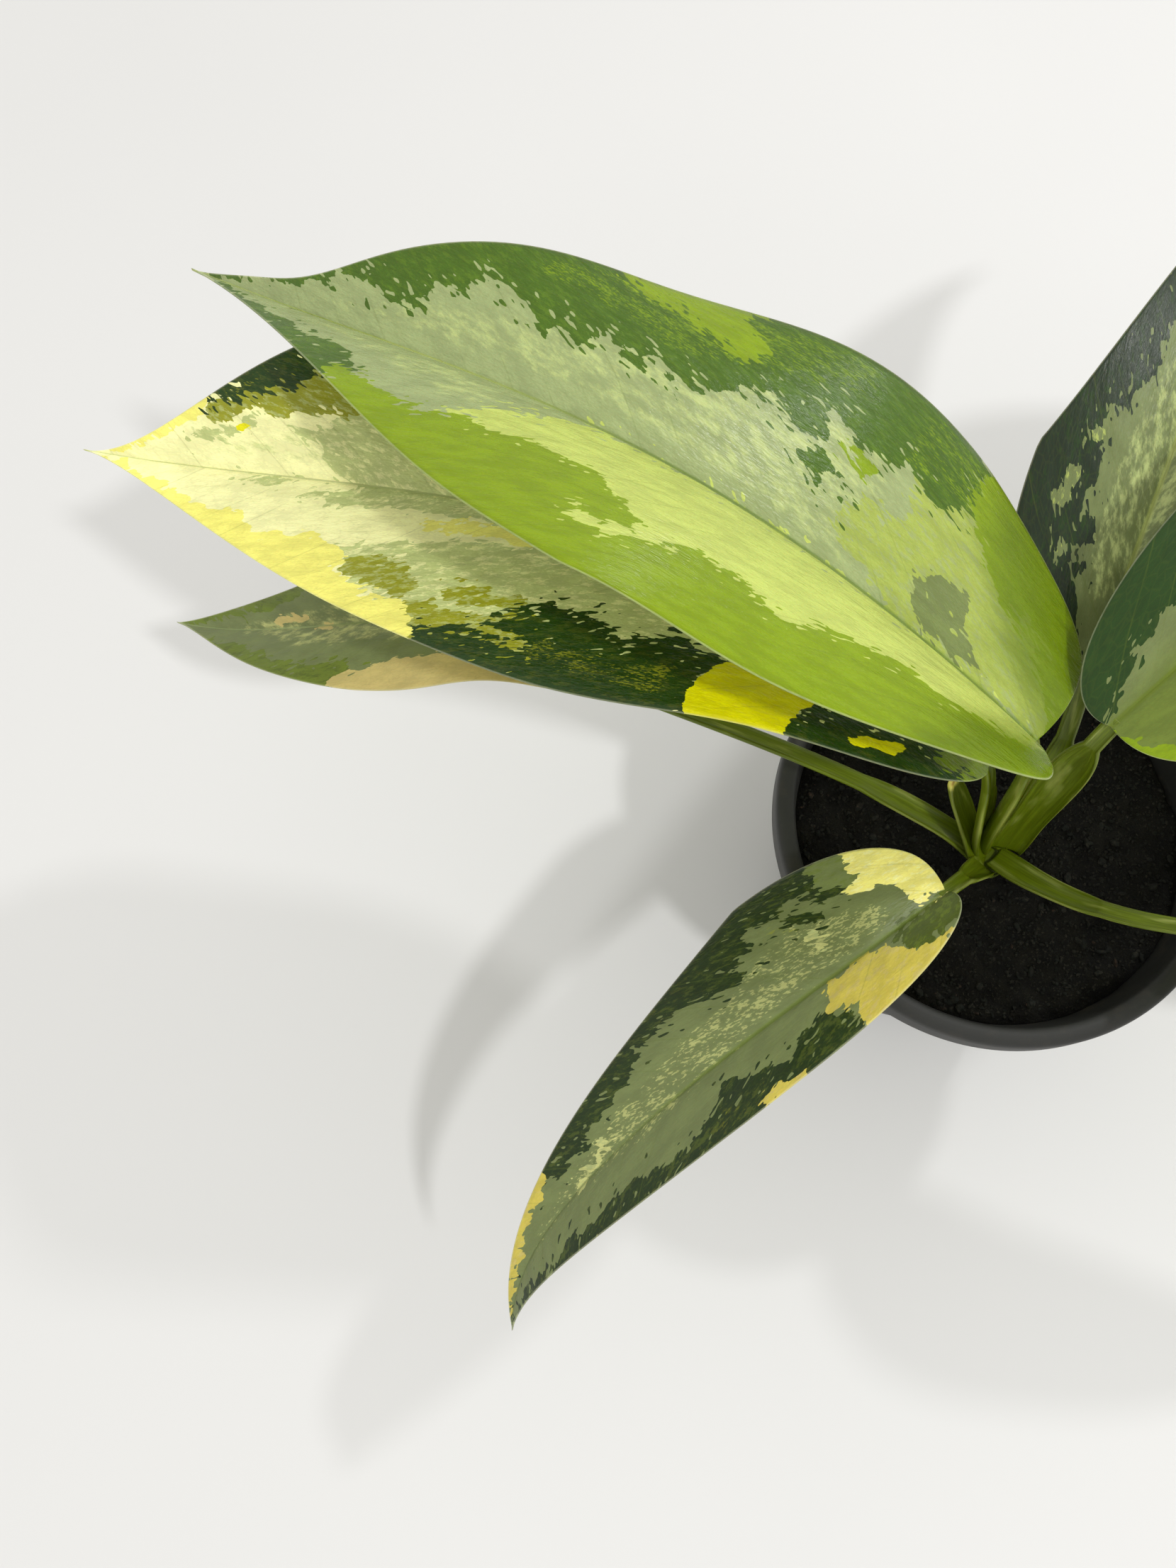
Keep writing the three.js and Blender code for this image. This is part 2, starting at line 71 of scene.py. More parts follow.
LEAVES = {
    "leaf_1": dict(
        rib=[(-28, -30, 146), (-88, -73, 150), (-141, -117, 128), (-164, -162, 88)],
        half=(22, 37), lobe=(0.03, 0.06), widest=(0.4, 0.26), full=(1.8, 1), point=(1.15, 1.2),
        rise=(20, 18), margin=(-10, -10), roll=(28, 22), wave=(3, 1, 0.8),
        root=(225, 118), handle=(-14, -20, 134), sheath=(0.5, 1.2),
    ),
    "leaf_2": dict(
        rib=[(44.5, -42.5, 151), (101, -60.5, 164), (160, -80, 154), (220, -104, 120)],
        half=(33, 34), lobe=(0.06, 0.01), widest=(0.34, 0.36), full=(1.8, 1.8), point=(1.3, 1.3),
        rise=(16, 16), margin=(-14, -14), roll=(0, 6), wave=(3, 1.6, 0.6),
        root=(325, 118), handle=(22, -37, 135), sheath=(0.4, 0.8),
    ),
    "leaf_3": dict(
        rib=[(-137, 37, 158.5), (-183, 54.5, 162), (-233, 60, 147), (-286, 73, 124)],
        half=(24, 25), lobe=(0.04, 0.05), widest=(0.52, 0.36), full=(2, 2), point=(1.5, 1.2),
        rise=(16, 16), margin=(-14, -14), roll=(5, 1), wave=(3.5, 1.7, 0),
        root=(165, 118), handle=(-42, 9.5, 145.5), sheath=(0.3, 1.6),
    ),
    "leaf_4": dict(
        rib=[(-21, 3, 176), (-112, 54, 204), (-200, 74, 210), (-293, 96, 196)],
        half=(55, 58), lobe=(0.02, 0.05), widest=(0.42, 0.54), full=(2.1, 2.3), point=(1.5, 1.9),
        rise=(25, 24), margin=(-10, -8), roll=(19, -19), wave=(3, 2.3, 0.8),
        root=(140, 121), handle=(-15, -9, 146), sheath=(0.62, 3),
    ),
    "leaf_5": dict(
        rib=[(9, 27, 180), (38, 99, 204), (76, 176, 204), (125, 238, 176)],
        half=(38, 40), lobe=(0.06, 0.05), widest=(0.26, 0.34), full=(0.9, 1.6), point=(1.35, 1.3),
        rise=(16, 16), margin=(-14, -14), roll=(1, 3), wave=(2.5, 1.6, 0.55),
        root=(70, 120), handle=(11, 4, 150), sheath=(0.55, 2.2),
    ),
    "leaf_6": dict(
        rib=[(5, 4, 201), (70, 54, 229), (146, 100, 230), (226, 136, 200)],
        half=(38, 40), lobe=(0.04, 0.02), widest=(0.42, 0.3), full=(2, 2), point=(1.3, 1.3),
        rise=(16, 16), margin=(-14, -14), roll=(5, 0), wave=(2.8, 1.6, 0.25),
        root=(30, 122), handle=(2, -3, 159), sheath=(0.72, 5),
    ),
    "leaf_7": dict(
        rib=[(-17, -1, 203), (-105, 54, 238), (-178, 89, 246), (-254, 135, 228)],
        half=(60, 59), lobe=(0.06, 0.03), widest=(0.43, 0.17), full=(1.35, 2.55), point=(1.42, 1.58),
        rise=(32, 28), margin=(-10, -4), roll=(22, 0), wave=(6.4, 1.9, 0.43),
        root=(110, 123), handle=(-12, -7, 160), sheath=(0.62, 3.4), nipped=1,
    ),
}
STUB = dict(
    end=(-23, 5, 150), heading=(-0.45, 0.3, 0.84),
    root=(180, 120), handle=(-13, -9, 132), sheath=(0.95, 1.9),
)

# Colours as seen in even light, in sRGB, except the pear colour, which is darkened as painted shade
COLOURS = {
    "grey": (151, 164, 111), "haze": (196, 207, 134), "dull": (112, 123, 77), "dusk": (114, 127, 74),
    "speck": (190, 192, 123), "pale": (186, 200, 100), "pear": (156, 171, 79), "mist": (182, 194, 124),
    "cream": (255, 253, 182), "lime": (126, 151, 0), "grass": (119, 144, 0), "reed": (94, 116, 4),
    "yellow": (252, 245, 124), "gold": (236, 230, 4), "butter": (198, 183, 80),
    "straw": (250, 240, 132), "beige": (194, 178, 112), "olive": (153, 156, 39), "moss": (103, 120, 40),
    "thicket": (77, 90, 33), "leaf": (70, 99, 22), "fern": (90, 119, 28), "dark": (37, 63, 18),
    "night": (33, 50, 16), "black": (35, 48, 31), "stem": (96, 112, 13), "stem_light": (166, 175, 92),
}

# The other colours, linear
TONES = {
    # rim: the pale margin of the leaves, partly a painted highlight
    "rim": (0.85, 0.9, 0.6, 1), "burnt": (0.42, 0.16, 0.03, 1), "plastic": (0.015, 0.0155, 0.0145, 1),
    "worn": (0.029, 0.030, 0.027, 1), "scuff": (0.10, 0.098, 0.088, 1), "dust": (0.09, 0.07, 0.05, 1),
    "peat": (0.0009, 0.0009, 0.0005, 1), "dry_peat": (0.006, 0.0056, 0.003, 1),
    "grit": (0.03, 0.028, 0.02, 1), "crumb": (0.0018, 0.0018, 0.001, 1),
    "dry_crumb": (0.03, 0.027, 0.019, 1), "chip": (0.045, 0.026, 0.016, 1),
    "floor": (0.72, 0.72, 0.72, 1), "pale_floor": (0.76, 0.76, 0.76, 1), "sky": (1, 0.985, 0.94, 1),
}

# Markings of each leaf from the lowest layer up. A layer is a colour, the colour of its flecks, how ragged
# its edge is in mm, and its patches. A soft layer is a mottling, a grainy one is strewn with specks and a wash
# fades in. A patch is an outline in percent of the leaf's length and its half width, positive on the left.

SOFT, GRAINY, WASH = 0, -1, -2
FULL = 130  # well past the margin
MARKS = {}
MARKS["leaf_7"] = "grey", [
    ("mist", "grey", SOFT,
     [(20, 0), (50, -10), (90, -10), (85, -50), (70, -50), (50, -50), (40, -60), (20, -70)],
     [(95, 30), (60, 50), (55, 5), (95, 0)]),
    ("pale", "pale", 5,
     [(61, FULL), (60, 53), (57, 31), (53, 18), (49, 3), (30, 1), (16, 0), (-10, 0), (0, FULL)]),
    # Pear is partly the right half's own grey-olive and partly painted shade: it is darker than the pale
    # because this half faces away from the light
    ("pear", "grey", 4,
     [(16, 0), (17, -6), (21, -12), (23.5, -20), (22, -36), (18, -38), (19, -60), (0, -FULL), (-10, 0)]),
    ("dusk", "dull", 4,
     [(15, -21), (14, -29), (11, -36), (10, -20), (7, -8), (9, -2), (14, -5)]),
    ("leaf", "fern", 5,
     [(79, -66), (77, -45), (74, -38), (71, -41), (70, -57), (67, -49), (68, -66), (64, -65), (62, -56),
      (59, -44), (57, -41), (56, -51), (53, -39), (51, -50), (46, -36), (46, -47), (43, -41), (40, -38),
      (38, -49), (34, -54), (30, -41), (28, -51), (29, -66), (25, -58), (22, -58), (20, -66), (17, -53),
      (14, -69), (15, -FULL), (98, -FULL), (95, -70), (85, -80)],
     [(29, -35), (28, -44), (26, -38), (26, -27)],
     [(24.5, -33), (23, -33), (22, -27)],
     [(100, FULL), (100, 50), (89, 66), (82, 64), (76, 49), (72, 68), (74, 88), (75, FULL)]),
    ("lime", "lime", 4,
     [(76, FULL), (74, 88), (72, 73), (67, 70), (64, 66), (60, 54), (56, 54), (53, 46), (45, 44), (43, 49),
      (41, 54), (39, 66), (45, 71), (45, 76), (39, 74), (35, 64), (32, 58), (28, 62), (26, 67), (24, 68),
      (21, 60), (17, 53), (14, 55), (10, 60), (7, 61), (3, 56), (-10, 50), (-10, FULL)],
     [(15, -FULL), (14.5, -66), (12, -56), (10, -48), (8, -45), (5, -54), (3, -36), (0, -30), (-10, -30),
      (-10, -FULL)],
     [(58, -FULL), (51, -89), (45, -82), (40, -69), (37, -66), (36, -76), (39, -93), (33, -FULL)],
     [(26, -49), (25, -52), (23, -49), (23, -45)]),
    ("reed", "reed", WASH,
     [(10, 70), (4, 40), (-10, 40), (-10, 100), (12, 100)],
     [(13, -70), (6, -30), (-10, -10), (-10, -100), (13, -100)]),
    ("lime", "fern", GRAINY,
     [(62, -100), (62, -75), (50, -60), (44, -50), (36, -60), (25, -75), (25, -100)],
     [(22, -60), (12, -62), (12, -100), (22, -100)]),
]
MARKS["leaf_4"] = "cream", [
    ("haze", "cream", 4,
     [(77, -37), (73, -32), (70, -40), (60, -80), (10, -FULL), (0, 0), (30, 12), (54, 15), (62, 17),
      (71, 23), (74, 20), (74, 10), (69, 3), (71, -7)],
     [(84, 14), (81, 19), (78, 15), (74, 6), (75, 0), (81, 5)],
     [(88, -58), (82, -47), (80, -56), (81, -43), (83, -36), (87, -41)],
     [(69, 58), (63, 47), (56, 31), (48, 27), (30, 20), (0, 10), (0, 90), (30, 90), (47, 85), (59, 86),
      (66, 83), (67, 66)]),
    ("haze", "cream", SOFT,
     [(97, -30), (86, -40), (70, -40), (70, 0), (80, -10)]),
    ("olive", "haze", 3,
     [(86, -79), (86, -64), (83, -56), (82, -60), (80, -59), (78, -47), (75, -45), (70, -39), (60, -50),
      (60, -90), (85, -86)],
     [(67, 63), (61, 55), (60, 64), (59, 73), (64, 79), (68, 78)],
     [(56, 58), (53, 51), (52, 55), (56, 61)],
     [(58, 70), (57, 65), (52, 59), (48, 59), (48, 62), (51, 68), (55, 72)],
     [(61, 76), (55, 76), (47, 66), (44, 72), (46, FULL), (60, FULL)]),
    ("grass", "moss", 2,
     [(7, 62), (4, 46), (-10, 40), (-10, FULL), (5, FULL), (5, 93)]),
    ("dark", "thicket", 5,
     [(85, -92), (84, -81), (80, -69), (74, -70), (60, -80), (45, -80), (45, -FULL), (87, -FULL)],
     [(59, 94), (56, 88), (52, 82), (48, 85), (46, 80), (51, 78), (51, 72), (44, 56), (40, 58), (37, 69),
      (34, 62), (32, 54), (29, 60), (26, 61), (27, 66), (28, 78), (28, FULL), (58, FULL)],
     [(20, 94), (18, 78), (16, 66), (10, 58), (6, 56), (5, 80), (3, 79), (3, FULL), (20, FULL)]),
    ("olive", "moss", GRAINY,
     [(88, -80), (80, -72), (78, -95), (85, -100)],
     [(50, 80), (44, 72), (36, 75), (30, 70), (30, 95), (46, 95)]),
    ("yellow", "yellow", 3,
     [(98, FULL), (95, 60), (90, 66), (83, 74), (80, 62), (78, 73), (73, 56), (69, 58), (67, 65), (68, 76),
      (65, 83), (60, 81), (59, 90), (57, FULL)],
     [(100, -50), (93, -60), (88, -75), (86, -80), (85, -FULL), (100, -FULL)],
     [(62, 22), (54, 16), (45, 18), (45, 26), (54, 27), (60, 30)]),
    ("gold", "gold", 2,
     [(29, 85), (27, 66), (23, 63), (17, 68), (18, 78), (19, 95), (19, FULL), (28, FULL)],
     [(82.5, -49), (81, -48), (81, -39), (82.5, -42)],
     [(14, 89), (12, 81), (8, 72), (9, 85), (13, 93)]),
]
MARKS["leaf_3"] = "dull", [
    ("speck", "grey", SOFT,
     [(92, -40), (55, -50), (20, -40), (20, 30), (70, 50), (95, 10)]),
    ("moss", "thicket", 4,
     [(94, FULL), (84, 60), (69, 73), (51, 69), (59, 95), (60, FULL)],
     [(100, -30), (84, -60), (77, -50), (69, -80), (20, -80), (0, -70), (0, -FULL), (100, -FULL)],
     [(6, 50), (0, 40), (-10, 50), (-10, FULL), (8, FULL)]),
    ("beige", "beige", 3,
     [(59, 90), (51, 69), (45, 58), (31, 58), (22, 66), (9, 78), (6, FULL), (57, FULL)],
     [(74, -22), (67, -20), (66, -10), (71, -12)],
     [(64, -2), (61, -5), (61, 8), (64, 5)]),
]
MARKS["leaf_1"] = "dull", [
    ("speck", "grey", GRAINY,
     [(8, -30), (20, -60), (40, -50), (60, -50), (80, -40), (90, 20), (50, 30), (30, 0), (10, 0)]),
    ("speck", "grey", 4,
     [(62, -28), (59, -27), (59, -11), (62, -10)],
     [(68, -11), (65, -14), (65, 3), (68, 2)],
     [(21, -41), (19, -34), (20, -26), (22, -32)]),
    ("night", "thicket", 5,
     [(13, -FULL), (13, -95), (15, -72), (13, -56), (16, -60), (20, -81), (22, -69), (21, -50), (23, -54),
      (22, -68), (28, -79), (26, -56), (29, -61), (31, -69), (29, -55), (32, -60), (31, -46), (34, -50),
      (36, -60), (44, -76), (51, -68), (54, -73), (56, -59), (62, -49), (68, -52), (74, -91), (74, -FULL)],
     [(22, -69), (19, -54), (18, -47), (21, -49), (23, -60)],
     [(23, 76), (24, 62), (25, 49), (26, 43), (28, 52), (30, 51), (32, 73), (33, 80), (34, 68), (35, 55),
      (37, 57), (39, 42), (41, 43), (44, 60), (48, 68), (53, 77), (56, 67), (63, 60), (69, 76), (74, 64),
      (84, 75), (100, 20), (100, FULL), (23, FULL)]),
    ("olive", "dark", SOFT,
     [(28, -78), (23, -68), (20, -41), (25, -48), (26, -66)],
     [(42, 60), (50, 80), (45, 100), (34, 80)]),
    ("thicket", "moss", 3,
     [(13, 20), (9, -2), (2, 0), (-10, 50), (-10, FULL), (5, FULL), (5, 97), (10, 87), (12, 56), (12, 40)]),
    ("dusk", "moss", 3,
     [(16, -92), (11, -110), (9, -66), (12, -58), (16, -70)]),
    ("straw", "cream", 3,
     [(11, -FULL), (11, -68), (13, -54), (11, -50), (9, -51), (7, -40), (6, -27), (5, -7), (1, -5),
      (-10, -30), (-10, -FULL)]),
    ("butter", "beige", 3,
     [(5, FULL), (7, 95), (10, 87), (12, 56), (13, 26), (15, 4), (23, 2), (25, 14), (24, 34), (25, 49),
      (22, 68), (23, 88), (22, FULL)],
     [(33, 85), (32, 93), (33, FULL), (39, FULL), (39, 95), (38, 83), (35, 83)],
     [(70, -78), (73, -70), (79, -70), (83, -55), (90, -30), (97, -20), (97, -FULL), (70, -FULL)]),
]
MARKS["leaf_5"] = "dull", [
    ("mist", "grey", SOFT,
     [(80, 30), (50, 50), (10, 40), (10, -40), (50, -50), (80, -30)]),
    ("black", "dark", 5,
     [(100, 20), (80, 62), (60, 60), (50, 60), (44, 52), (41, 62), (39, 49), (36, 53), (31, 62), (26, 51),
      (23, 52), (20, 58), (20, 42), (17, 37), (16, 50), (14, 44), (9, 36), (5, 35), (-10, 40), (-10, FULL),
      (100, FULL)],
     [(100, -20), (80, -65), (65, -50), (50, -65), (30, -55), (10, -50), (-10, -50), (-10, -FULL),
      (100, -FULL)]),
    ("dull", "pale", 3,
     [(28, 74), (29, 68), (29, 56), (27, 60)],
     [(20, 74), (24, 70), (24, 60), (20, 62)],
     [(14, 70), (16, 64), (15, 58), (13, 66)]),
]
MARKS["leaf_6"] = "dull", [
    ("dusk", "dull", SOFT,
     [(80, 30), (40, 50), (5, 30), (5, -60), (50, -60), (80, -30)]),
    ("moss", "moss", WASH,
     [(20, 10), (30, -90), (-10, -100), (-10, 10)]),
    ("dark", "dark", 4,
     [(100, 30), (80, 50), (60, 42), (40, 55), (25, 50), (13, 45), (12, 52), (9, 49), (6, 44), (4, 49),
      (2, 33), (-10, 30), (-10, FULL), (100, FULL)],
     [(100, -30), (80, -70), (55, -60), (40, -80), (40, -FULL), (100, -FULL)]),
    ("dark", "leaf", SOFT,
     [(30, -65), (2, -60), (2, -80), (30, -85)]),
    ("lime", "grass", 4,
     [(42, -85), (20, -78), (5, -82), (0, -60), (-10, -60), (-10, -FULL), (42, -FULL)]),
]
MARKS["leaf_2"] = "grey", [
    ("mist", "grey", SOFT,
     [(85, 20), (50, 50), (10, 50), (10, -50), (50, -50), (85, -20)]),
    ("pale", "haze", 5,
     [(50, 10), (30, 45), (15, 40), (25, 5)]),
    ("leaf", "fern", 5,
     [(100, 20), (80, 40), (70, 65), (60, 50), (48, 70), (40, 62), (38, FULL), (100, FULL)],
     [(60, -90), (50, -60), (40, -50), (25, -65), (10, -50), (-10, -60), (-10, -FULL), (60, -FULL)]),
    ("butter", "cream", 3,
     [(40, FULL), (40, 60), (30, 50), (20, 60), (10, 40), (-10, 30), (-10, FULL)],
     [(62, -FULL), (62, -75), (75, -60), (90, -30), (100, -10), (100, -FULL)]),
]

# How each leaf's rib is tinted, at the base and at the tip

RIBS = {
    "leaf_1": ("moss", "dull"),
    "leaf_2": ("stem", "pale"),
    "leaf_3": ("stem", "grey"),
    "leaf_4": ("stem", "haze"),
    "leaf_5": ("stem_light", "stem_light"),
    "leaf_6": ("stem", "stem_light"),
    "leaf_7": ("fern", "pale"),
}
BLADE = {
    "thickness": 0.62, "edge": 0.34, "rows": 132, "columns": 34, "crowded": 1.3, "end": 0.01,
    "rib_width": 2.4, "rib_taper": 0.8, "rib_depth": 2.4, "channel": 0.32,
}
SWELL_FADE = {"rib": 6, "margin": 5, "tip": 6}
LOBE = {"size": 1.6, "length": 0.3}
NIP = {"place": 0.88, "depth": 0.3, "spread": 0.07}
VEIN = {"bend": 0.024, "spread": 0.55, "apart": 15, "swell": 0.22}
OTHER_HALF = 31  # how far the second half's noise lies from the first one's
OUTSIDE = -90.0  # mm, far outside every patch

# The roughness from and to, and the height of the fine relief in metres
GLOSS, SATIN = (0.2, 0.3, 0.0005), (0.32, 0.44, 0.0003)
SHEEN = {"leaf_4": GLOSS, "leaf_7": GLOSS}

PETIOLE = {
    "radius": 3.1, "taper": 0.5, "edge": 0.8, "start": 5, "bend": 9, "into": 2.4, "cap": 3,
    "sheath_foot": 0.3, "sheath_end": 4.5, "film": 0.35, "inner_film": 0.42, "groove": 0.5, "floor": 0.2,
    "stations": 90, "back": 22, "front": 18, "sunk": 5, "clasp": 1.2, "clasp_length": 10,
}
CANE = {"x": -2, "y": -11, "bottom": 76, "radius": 6, "crown": 113.5, "ring": 110.3, "ring_step": 1.6}


def unit(v):
    return v / np.maximum(np.linalg.norm(v, axis=-1, keepdims=True), 1e-9)


def bezier(controls, t):
    a, b, c, d = controls
    t = np.asarray(t, float)[..., None]
    return a * (1 - t) ** 3 + 3 * b * t * (1 - t) ** 2 + 3 * c * t * t * (1 - t) + d * t**3


def bezier_heading(controls, t):
    a, b, c, d = controls
    t = np.asarray(t, float)[..., None]
    return unit((b - a) * (1 - t) ** 2 + 2 * (c - b) * t * (1 - t) + (d - c) * t * t)


def rib_curve(leaf):
    a, b, c, d = [np.array(p, float) for p in leaf["rib"]]
    return a, -5 / 6 * a + 3 * b - 1.5 * c + d / 3, a / 3 - 1.5 * b + 3 * c - 5 / 6 * d, d


def curve_length(controls):
    return np.linalg.norm(np.diff(bezier(controls, np.linspace(0, 1, 200)), axis=0), axis=1).sum()


def outline(leaf, side, u):
    """The margin's place along the rib and its distance from it, as shares, at a share u of the length."""
    widest = leaf["widest"][side]
    near = np.sqrt(np.maximum(0, 1 - np.maximum(0, 1 - u / widest) ** 2.2))  # a little fuller than an ellipse
    past = np.clip((u - widest) / (1 - widest), 0, 1)
    far = np.maximum(0, 1 - past ** leaf["full"][side]) ** leaf["point"][side]
    wide = np.where(u < widest, near, far)
    if leaf.get("nipped") == side:
        wide = wide * (1 - NIP["depth"] * np.exp(-(((u - NIP["place"]) / NIP["spread"]) ** 2)))
    back = LOBE["size"] * leaf["lobe"][side] * np.maximum(0, 1 - u / LOBE["length"]) ** 2 * wide
    return u - back, wide


def blade_frame(leaf, curve, length, u):
    inside = np.clip(u, 0, 1)
    heading = bezier_heading(curve, inside)
    place = bezier(curve, inside) + heading * ((u - inside) * length)[..., None]
    level = unit(np.cross(UP, heading))
    roll = np.radians(leaf["roll"][0] + (leaf["roll"][1] - leaf["roll"][0]) * inside)[..., None]
    left = level * np.cos(roll) + np.cross(heading, level) * np.sin(roll)
    return place, left, np.cross(heading, left)


def blade_surface(leaf, curve, length, u, y, side, off):
    """Points at a share u of the blade's length, y mm to the left of its rib and off mm above its middle."""
    place, left, upper = blade_frame(leaf, curve, length, u)
    half = np.array(leaf["half"], float)[side]
    rise = np.radians(np.array(leaf["rise"], float)[side])
    bend = np.radians(np.array(leaf["margin"], float)[side]) - rise
    away = np.abs(y) / half
    angle = rise + bend * away
    height, count, start = leaf["wave"]
    turns = count * u + start + 0.37 * side  # the halves are out of step
    wave = height * away**2 * np.sin(2 * np.pi * turns)
    sign = np.where(side == 1, -1.0, 1.0)
    across = sign * (half / bend * (np.sin(angle) - np.sin(rise)) - off * np.sin(angle))
    up = half / bend * (np.cos(rise) - np.cos(angle)) + wave + off * np.cos(angle)
    return place + left * across[..., None] + upper * up[..., None]


def patch_depth(points, u, s, length, reach):
    """How far inside an outline in percent each point of a leaf lies, in mm; negative outside."""
    corners = np.array(points) / 100
    after = np.roll(corners, -1, axis=0)
    nearest = np.full(u.shape, np.inf)
    inside = np.zeros(u.shape, bool)
    for (u0, s0), (u1, s1) in zip(corners, after):
        x0, y0 = (u0 - u) * length, (s0 - s) * reach
        x1, y1 = (u1 - u) * length, (s1 - s) * reach
        dx, dy = x1 - x0, y1 - y0
        t = np.clip(-(x0 * dx + y0 * dy) / np.maximum(dx * dx + dy * dy, 1e-9), 0, 1)
        nearest = np.minimum(nearest, np.hypot(x0 + t * dx, y0 + t * dy))
        if s0 != s1:
            crossing = (s0 > s) != (s1 > s)
            inside ^= crossing & (u < u0 + (s - s0) * (u1 - u0) / (s1 - s0))
    return np.where(inside, nearest, -nearest)


# Node trees


class Tree:
    """Builds a material's nodes by short calls."""

    def __init__(self, name):
        self.material = bpy.data.materials.new(name)
        self.material.use_nodes = True
        self.tree = self.material.node_tree
        self.shader = self.tree.nodes["Principled BSDF"]

    def node(self, kind, values=(), **settings):
        made = self.tree.nodes.new(kind)
        for key, value in settings.items():
            setattr(made, key, value)
        for socket, value in dict(values).items():
            self.put(made.inputs[socket], value)
        return made

    def put(self, socket, value):
        if isinstance(value, bpy.types.NodeSocket):
            self.tree.links.new(value, socket)
        else:
            socket.default_value = value

    def set(self, **values):
        for key, value in values.items():
            self.put(self.shader.inputs[key.replace("_", " ")], value)

    def attribute(self, name, output="Fac"):
        return self.node("ShaderNodeAttribute", attribute_name=name).outputs[output]

    def place(self):
        return self.node("ShaderNodeTexCoord").outputs["Object"]

    def split(self, vector):
        return self.node("ShaderNodeSeparateXYZ", {0: vector}).outputs

    def scaled(self, vector, factors, offset=(0, 0, 0)):
        values = {0: vector, 1: factors, 2: offset}
        return self.node("ShaderNodeVectorMath", values, operation="MULTIPLY_ADD").outputs[0]

    def math(self, operation, *values):
        return self.node("ShaderNodeMath", dict(enumerate(values)), operation=operation).outputs[0]

    def noise(self, vector, scale, detail, roughness=0.55):
        values = {"Vector": vector, "Scale": scale, "Detail": detail, "Roughness": roughness}
        return self.node("ShaderNodeTexNoise", values).outputs["Fac"]

    def net(self, vector, scale):
        """The distance from the lines of an uneven net."""
        values = {"Vector": vector, "Scale": scale}
        return self.node("ShaderNodeTexVoronoi", values, feature="DISTANCE_TO_EDGE").outputs["Distance"]

    def step(self, value, low, high, start=0.0, end=1.0):
        """From start at low to end at high, smoothly."""
        values = {0: value, 1: low, 2: high, 3: start, 4: end}
        return self.node("ShaderNodeMapRange", values, interpolation_type="SMOOTHSTEP").outputs[0]

    def mix(self, factor, a, b, blend="MIX"):
        made = self.node("ShaderNodeMix", data_type="RGBA", blend_type=blend)
        self.put(made.inputs[0], factor)
        self.put(made.inputs[6], a)
        self.put(made.inputs[7], b)
        return made.outputs[2]

    def bump(self, height, strength, distance):
        values = {"Height": height, "Strength": strength, "Distance": distance}
        self.put(self.shader.inputs["Normal"], self.node("ShaderNodeBump", values).outputs[0])


def linear(name):
    """A named colour as the linear one that the shader takes."""
    return tuple((c / 255) ** 2.2 for c in COLOURS[name]) + (1.0,)


def shade(colour, factor):
    return tuple(c * factor for c in colour[:3]) + (1.0,)


# How much a layer without an edge covers: from and to in its noise, nothing, and the most
COVER = {SOFT: (0.44, 0.62, 0.0, 0.75), GRAINY: (0.51, 0.57, 0.0, 0.6), WASH: (-9.0, 7.0, 0.0, 0.85)}
# Holes and islands at an edge more ragged than CALM mm: from and to in their noise, and how deep they go
CALM = 2.2
HOLES, ISLANDS = (0.66, 0.76, 2.3), (0.34, 0.25, 1.5)
WHITE = (1, 1, 1)


